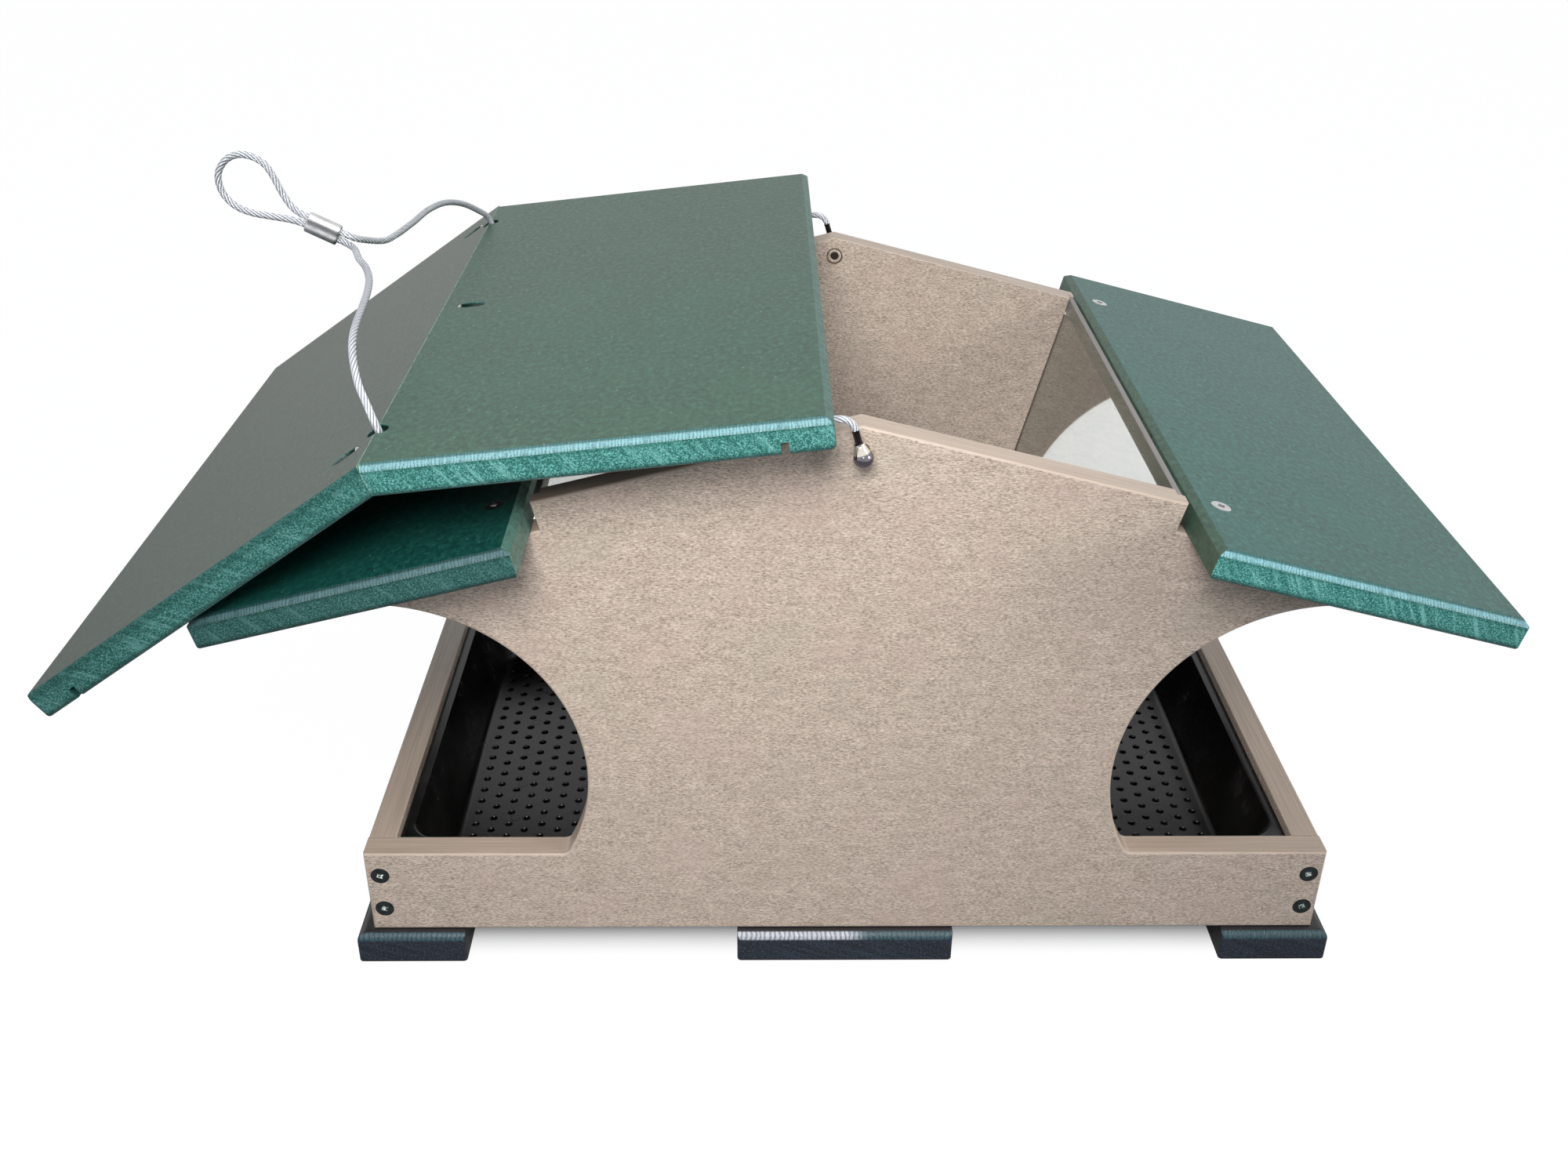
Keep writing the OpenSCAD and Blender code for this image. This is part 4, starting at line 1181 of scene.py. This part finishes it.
# %% Ferrule
def ferrule():
    """Section r(a) = half width or half thickness by angle, pulled in where the two lobes meet."""
    angle = np.arange(56) / 56 * 2 * np.pi
    half = (FERRULE_W - FERRULE_T) / 2
    x = half * np.tanh(3.2 * np.cos(angle)) + FERRULE_T / 2 * np.cos(angle)
    y = FERRULE_T / 2 * np.sin(angle) * (1 - 0.16 * np.exp(-(x / 1.5) ** 2))
    far = FERRULE_LEN / 2 - np.array([0, 0, 0.15, 0.45, 1.05])
    grow = np.array([0.62, 0.88, 0.95, 0.99, 1.0])
    z, grow = np.concatenate([-far, [0], far[::-1]]), np.concatenate([grow, [1.0], grow[::-1]])
    place = about(FERRULE_AT, ferrule_along, ferrule_across)
    return closed(place(grow[:, None] * x, grow[:, None] * y, z[:, None]))


finish_piece(plain_piece("pressed_ferrule", [ferrule()]), FERRULE_FINISH, "ferrule", "bail")

# %% Anchors
BALL_R = 4.0
for name, end in ENDS.items():
    lean = (-np.sin(SLEEVE_LEAN), 0, np.cos(SLEEVE_LEAN))
    place = about((0, end * HOLE_Y, ANCHOR_Z), lean, (0, 1, 0))
    sweep = np.radians(np.linspace(-88, 33, 16))
    radii = [*(BALL_R * np.cos(sweep)), 2.95, 2.45, 2.15, 2.1, 1.95, 1.5, 1.45, 1.45, 1.52, 1.52]
    heights = [*(BALL_R * np.sin(sweep)), 3.2, 4.5, 5.9, CONE_TOP - 0.2, CONE_TOP, CONE_TOP + 0.05, 7.0, 11.4, 11.7,
               SLEEVE_REACH]
    low_x, high_x = sorted((end * 1.5, end * 2.8))
    anchor = plain_piece(f"{name}_cable_anchor", [turned(place, radii, heights, 36)],
                         [block(place, (low_x, -0.45, 5.3), (high_x, 0.45, 7.0))])
    finish_piece(anchor, ANCHOR_FINISH, f"{name}_cable_end", "anchors")

# %% [markdown]
# ## CAD parts that stay
# The bolts and the ridge screws have the right shape already, so they only get a finish.

# %% Finishes for CAD nodes
for name, material in (("anchor_bolts", BOLT_FINISH), ("ridge_screws", STAINLESS_FINISH)):
    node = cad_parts[name]
    for slot in node.material_slots:
        slot.material = material
    if not node.material_slots:
        node.data.materials.append(material)

# %% [markdown]
# ## Floor and light
# The photograph has a plain white ground. The floor is pale and catches a soft shadow, and a ray from the
# camera sees it white, except in the dark under the tray. In a gloss it is white only further away, so
# that the low side of the roof does not shine. One lamp stands in front, one to the right and one hangs
# above, and the world fills the shade with a cooler light, which is brighter from behind and the left.


# %% A share that only the camera and reflections see
def seen(wire, in_gloss=1.0):
    """1 for rays from the camera or through glass, another share in a gloss, and 0 for light on the object."""
    camera_ray, glossy, through = [wire.node("ShaderNodeLightPath", output=name) for name in (
        "Is Camera Ray", "Is Glossy Ray", "Is Transmission Ray")]
    return wire.math("MAXIMUM", camera_ray, wire.math("MAXIMUM", glossy * in_gloss, through))


# %% Floor
def floor_finish():
    material, wire = start_finish("pale_floor")
    _, (x, y, _) = spot(wire)
    open_floor = 1 - abs(x).ramp(HALF_W + 4, HALF_W - 26) * abs(y).ramp(HALF_D + 2, HALF_D - 28)
    away = wire.math("SQRT", x * x + y * y).ramp(400, 3400)
    shader = wire.node("ShaderNodeBsdfDiffuse", None, {"Color": colour((160, 160, 162))})
    glow = wire.node("ShaderNodeEmission", None, {"Color": (1, 1, 1, 1), "Strength": 1.06})
    share = seen(wire, 0.1 + 0.9 * away) * open_floor * 0.93
    both = wire.node("ShaderNodeMixShader", None, {0: share, 1: shader, 2: glow})
    wire.node("ShaderNodeOutputMaterial", None, {"Surface": both})
    return material


floor_mesh = bpy.data.meshes.new("floor")
floor_mesh.from_pydata([(-8, -8, 0), (8, -8, 0), (8, 8, 0), (-8, 8, 0)], [], [(0, 1, 2, 3)])
floor_mesh.materials.append(floor_finish())
new_object("floor", floor_mesh)

# %% World and lamps
WORLD_FILL, WORLD_BEHIND = 0.21, 0.6
world = bpy.data.worlds.new("studio")
world.use_nodes = True
world.node_tree.nodes.clear()
wire = Wire(world.node_tree)
shown = seen(wire)
# No lamp stands behind or to the left, so the world is brighter there, for light on the object only.
x, y, _ = split(wire, wire.node("ShaderNodeTexCoord", output="Generated"))
fill = WORLD_FILL + WORLD_BEHIND * (y * 0.9 - x * 0.4).ramp(0.0, 1.0)
backdrop = wire.node("ShaderNodeBackground", None, {
    "Color": shown.mix((0.82, 1.0, 1.16, 1), (1, 1, 1, 1)), "Strength": shown + (1 - shown) * fill})
wire.node("ShaderNodeOutputWorld", None, {"Surface": backdrop})
bpy.context.scene.world = world


def lamp(name, place, target, size, power, spread=180):
    """A round lamp that looks at its target, with its light in a cone of spread degrees."""
    data = bpy.data.lights.new(name, "AREA")
    data.shape, data.size, data.energy, data.spread = "DISK", size, power, np.radians(spread)
    back = np.array(place, float) - target
    back /= np.linalg.norm(back)
    side = np.cross((0, 0, 1), back)
    side /= np.linalg.norm(side)
    new_object(name, data).matrix_world = placed([side, np.cross(back, side), back], place)


lamp("ceiling", (-0.3, -0.6, 1.9), (0, 0, 0.15), 1.4, 8)
lamp("right", (1.5, -0.75, 0.85), (0, 0, 0.2), 0.7, 9.5)
lamp("front", (-0.12, -0.70, 0.70), (-0.09, -HALF_D * MM, 0.27), 0.34, 0.88, 68)
bpy.context.scene.view_settings.view_transform = "Standard"
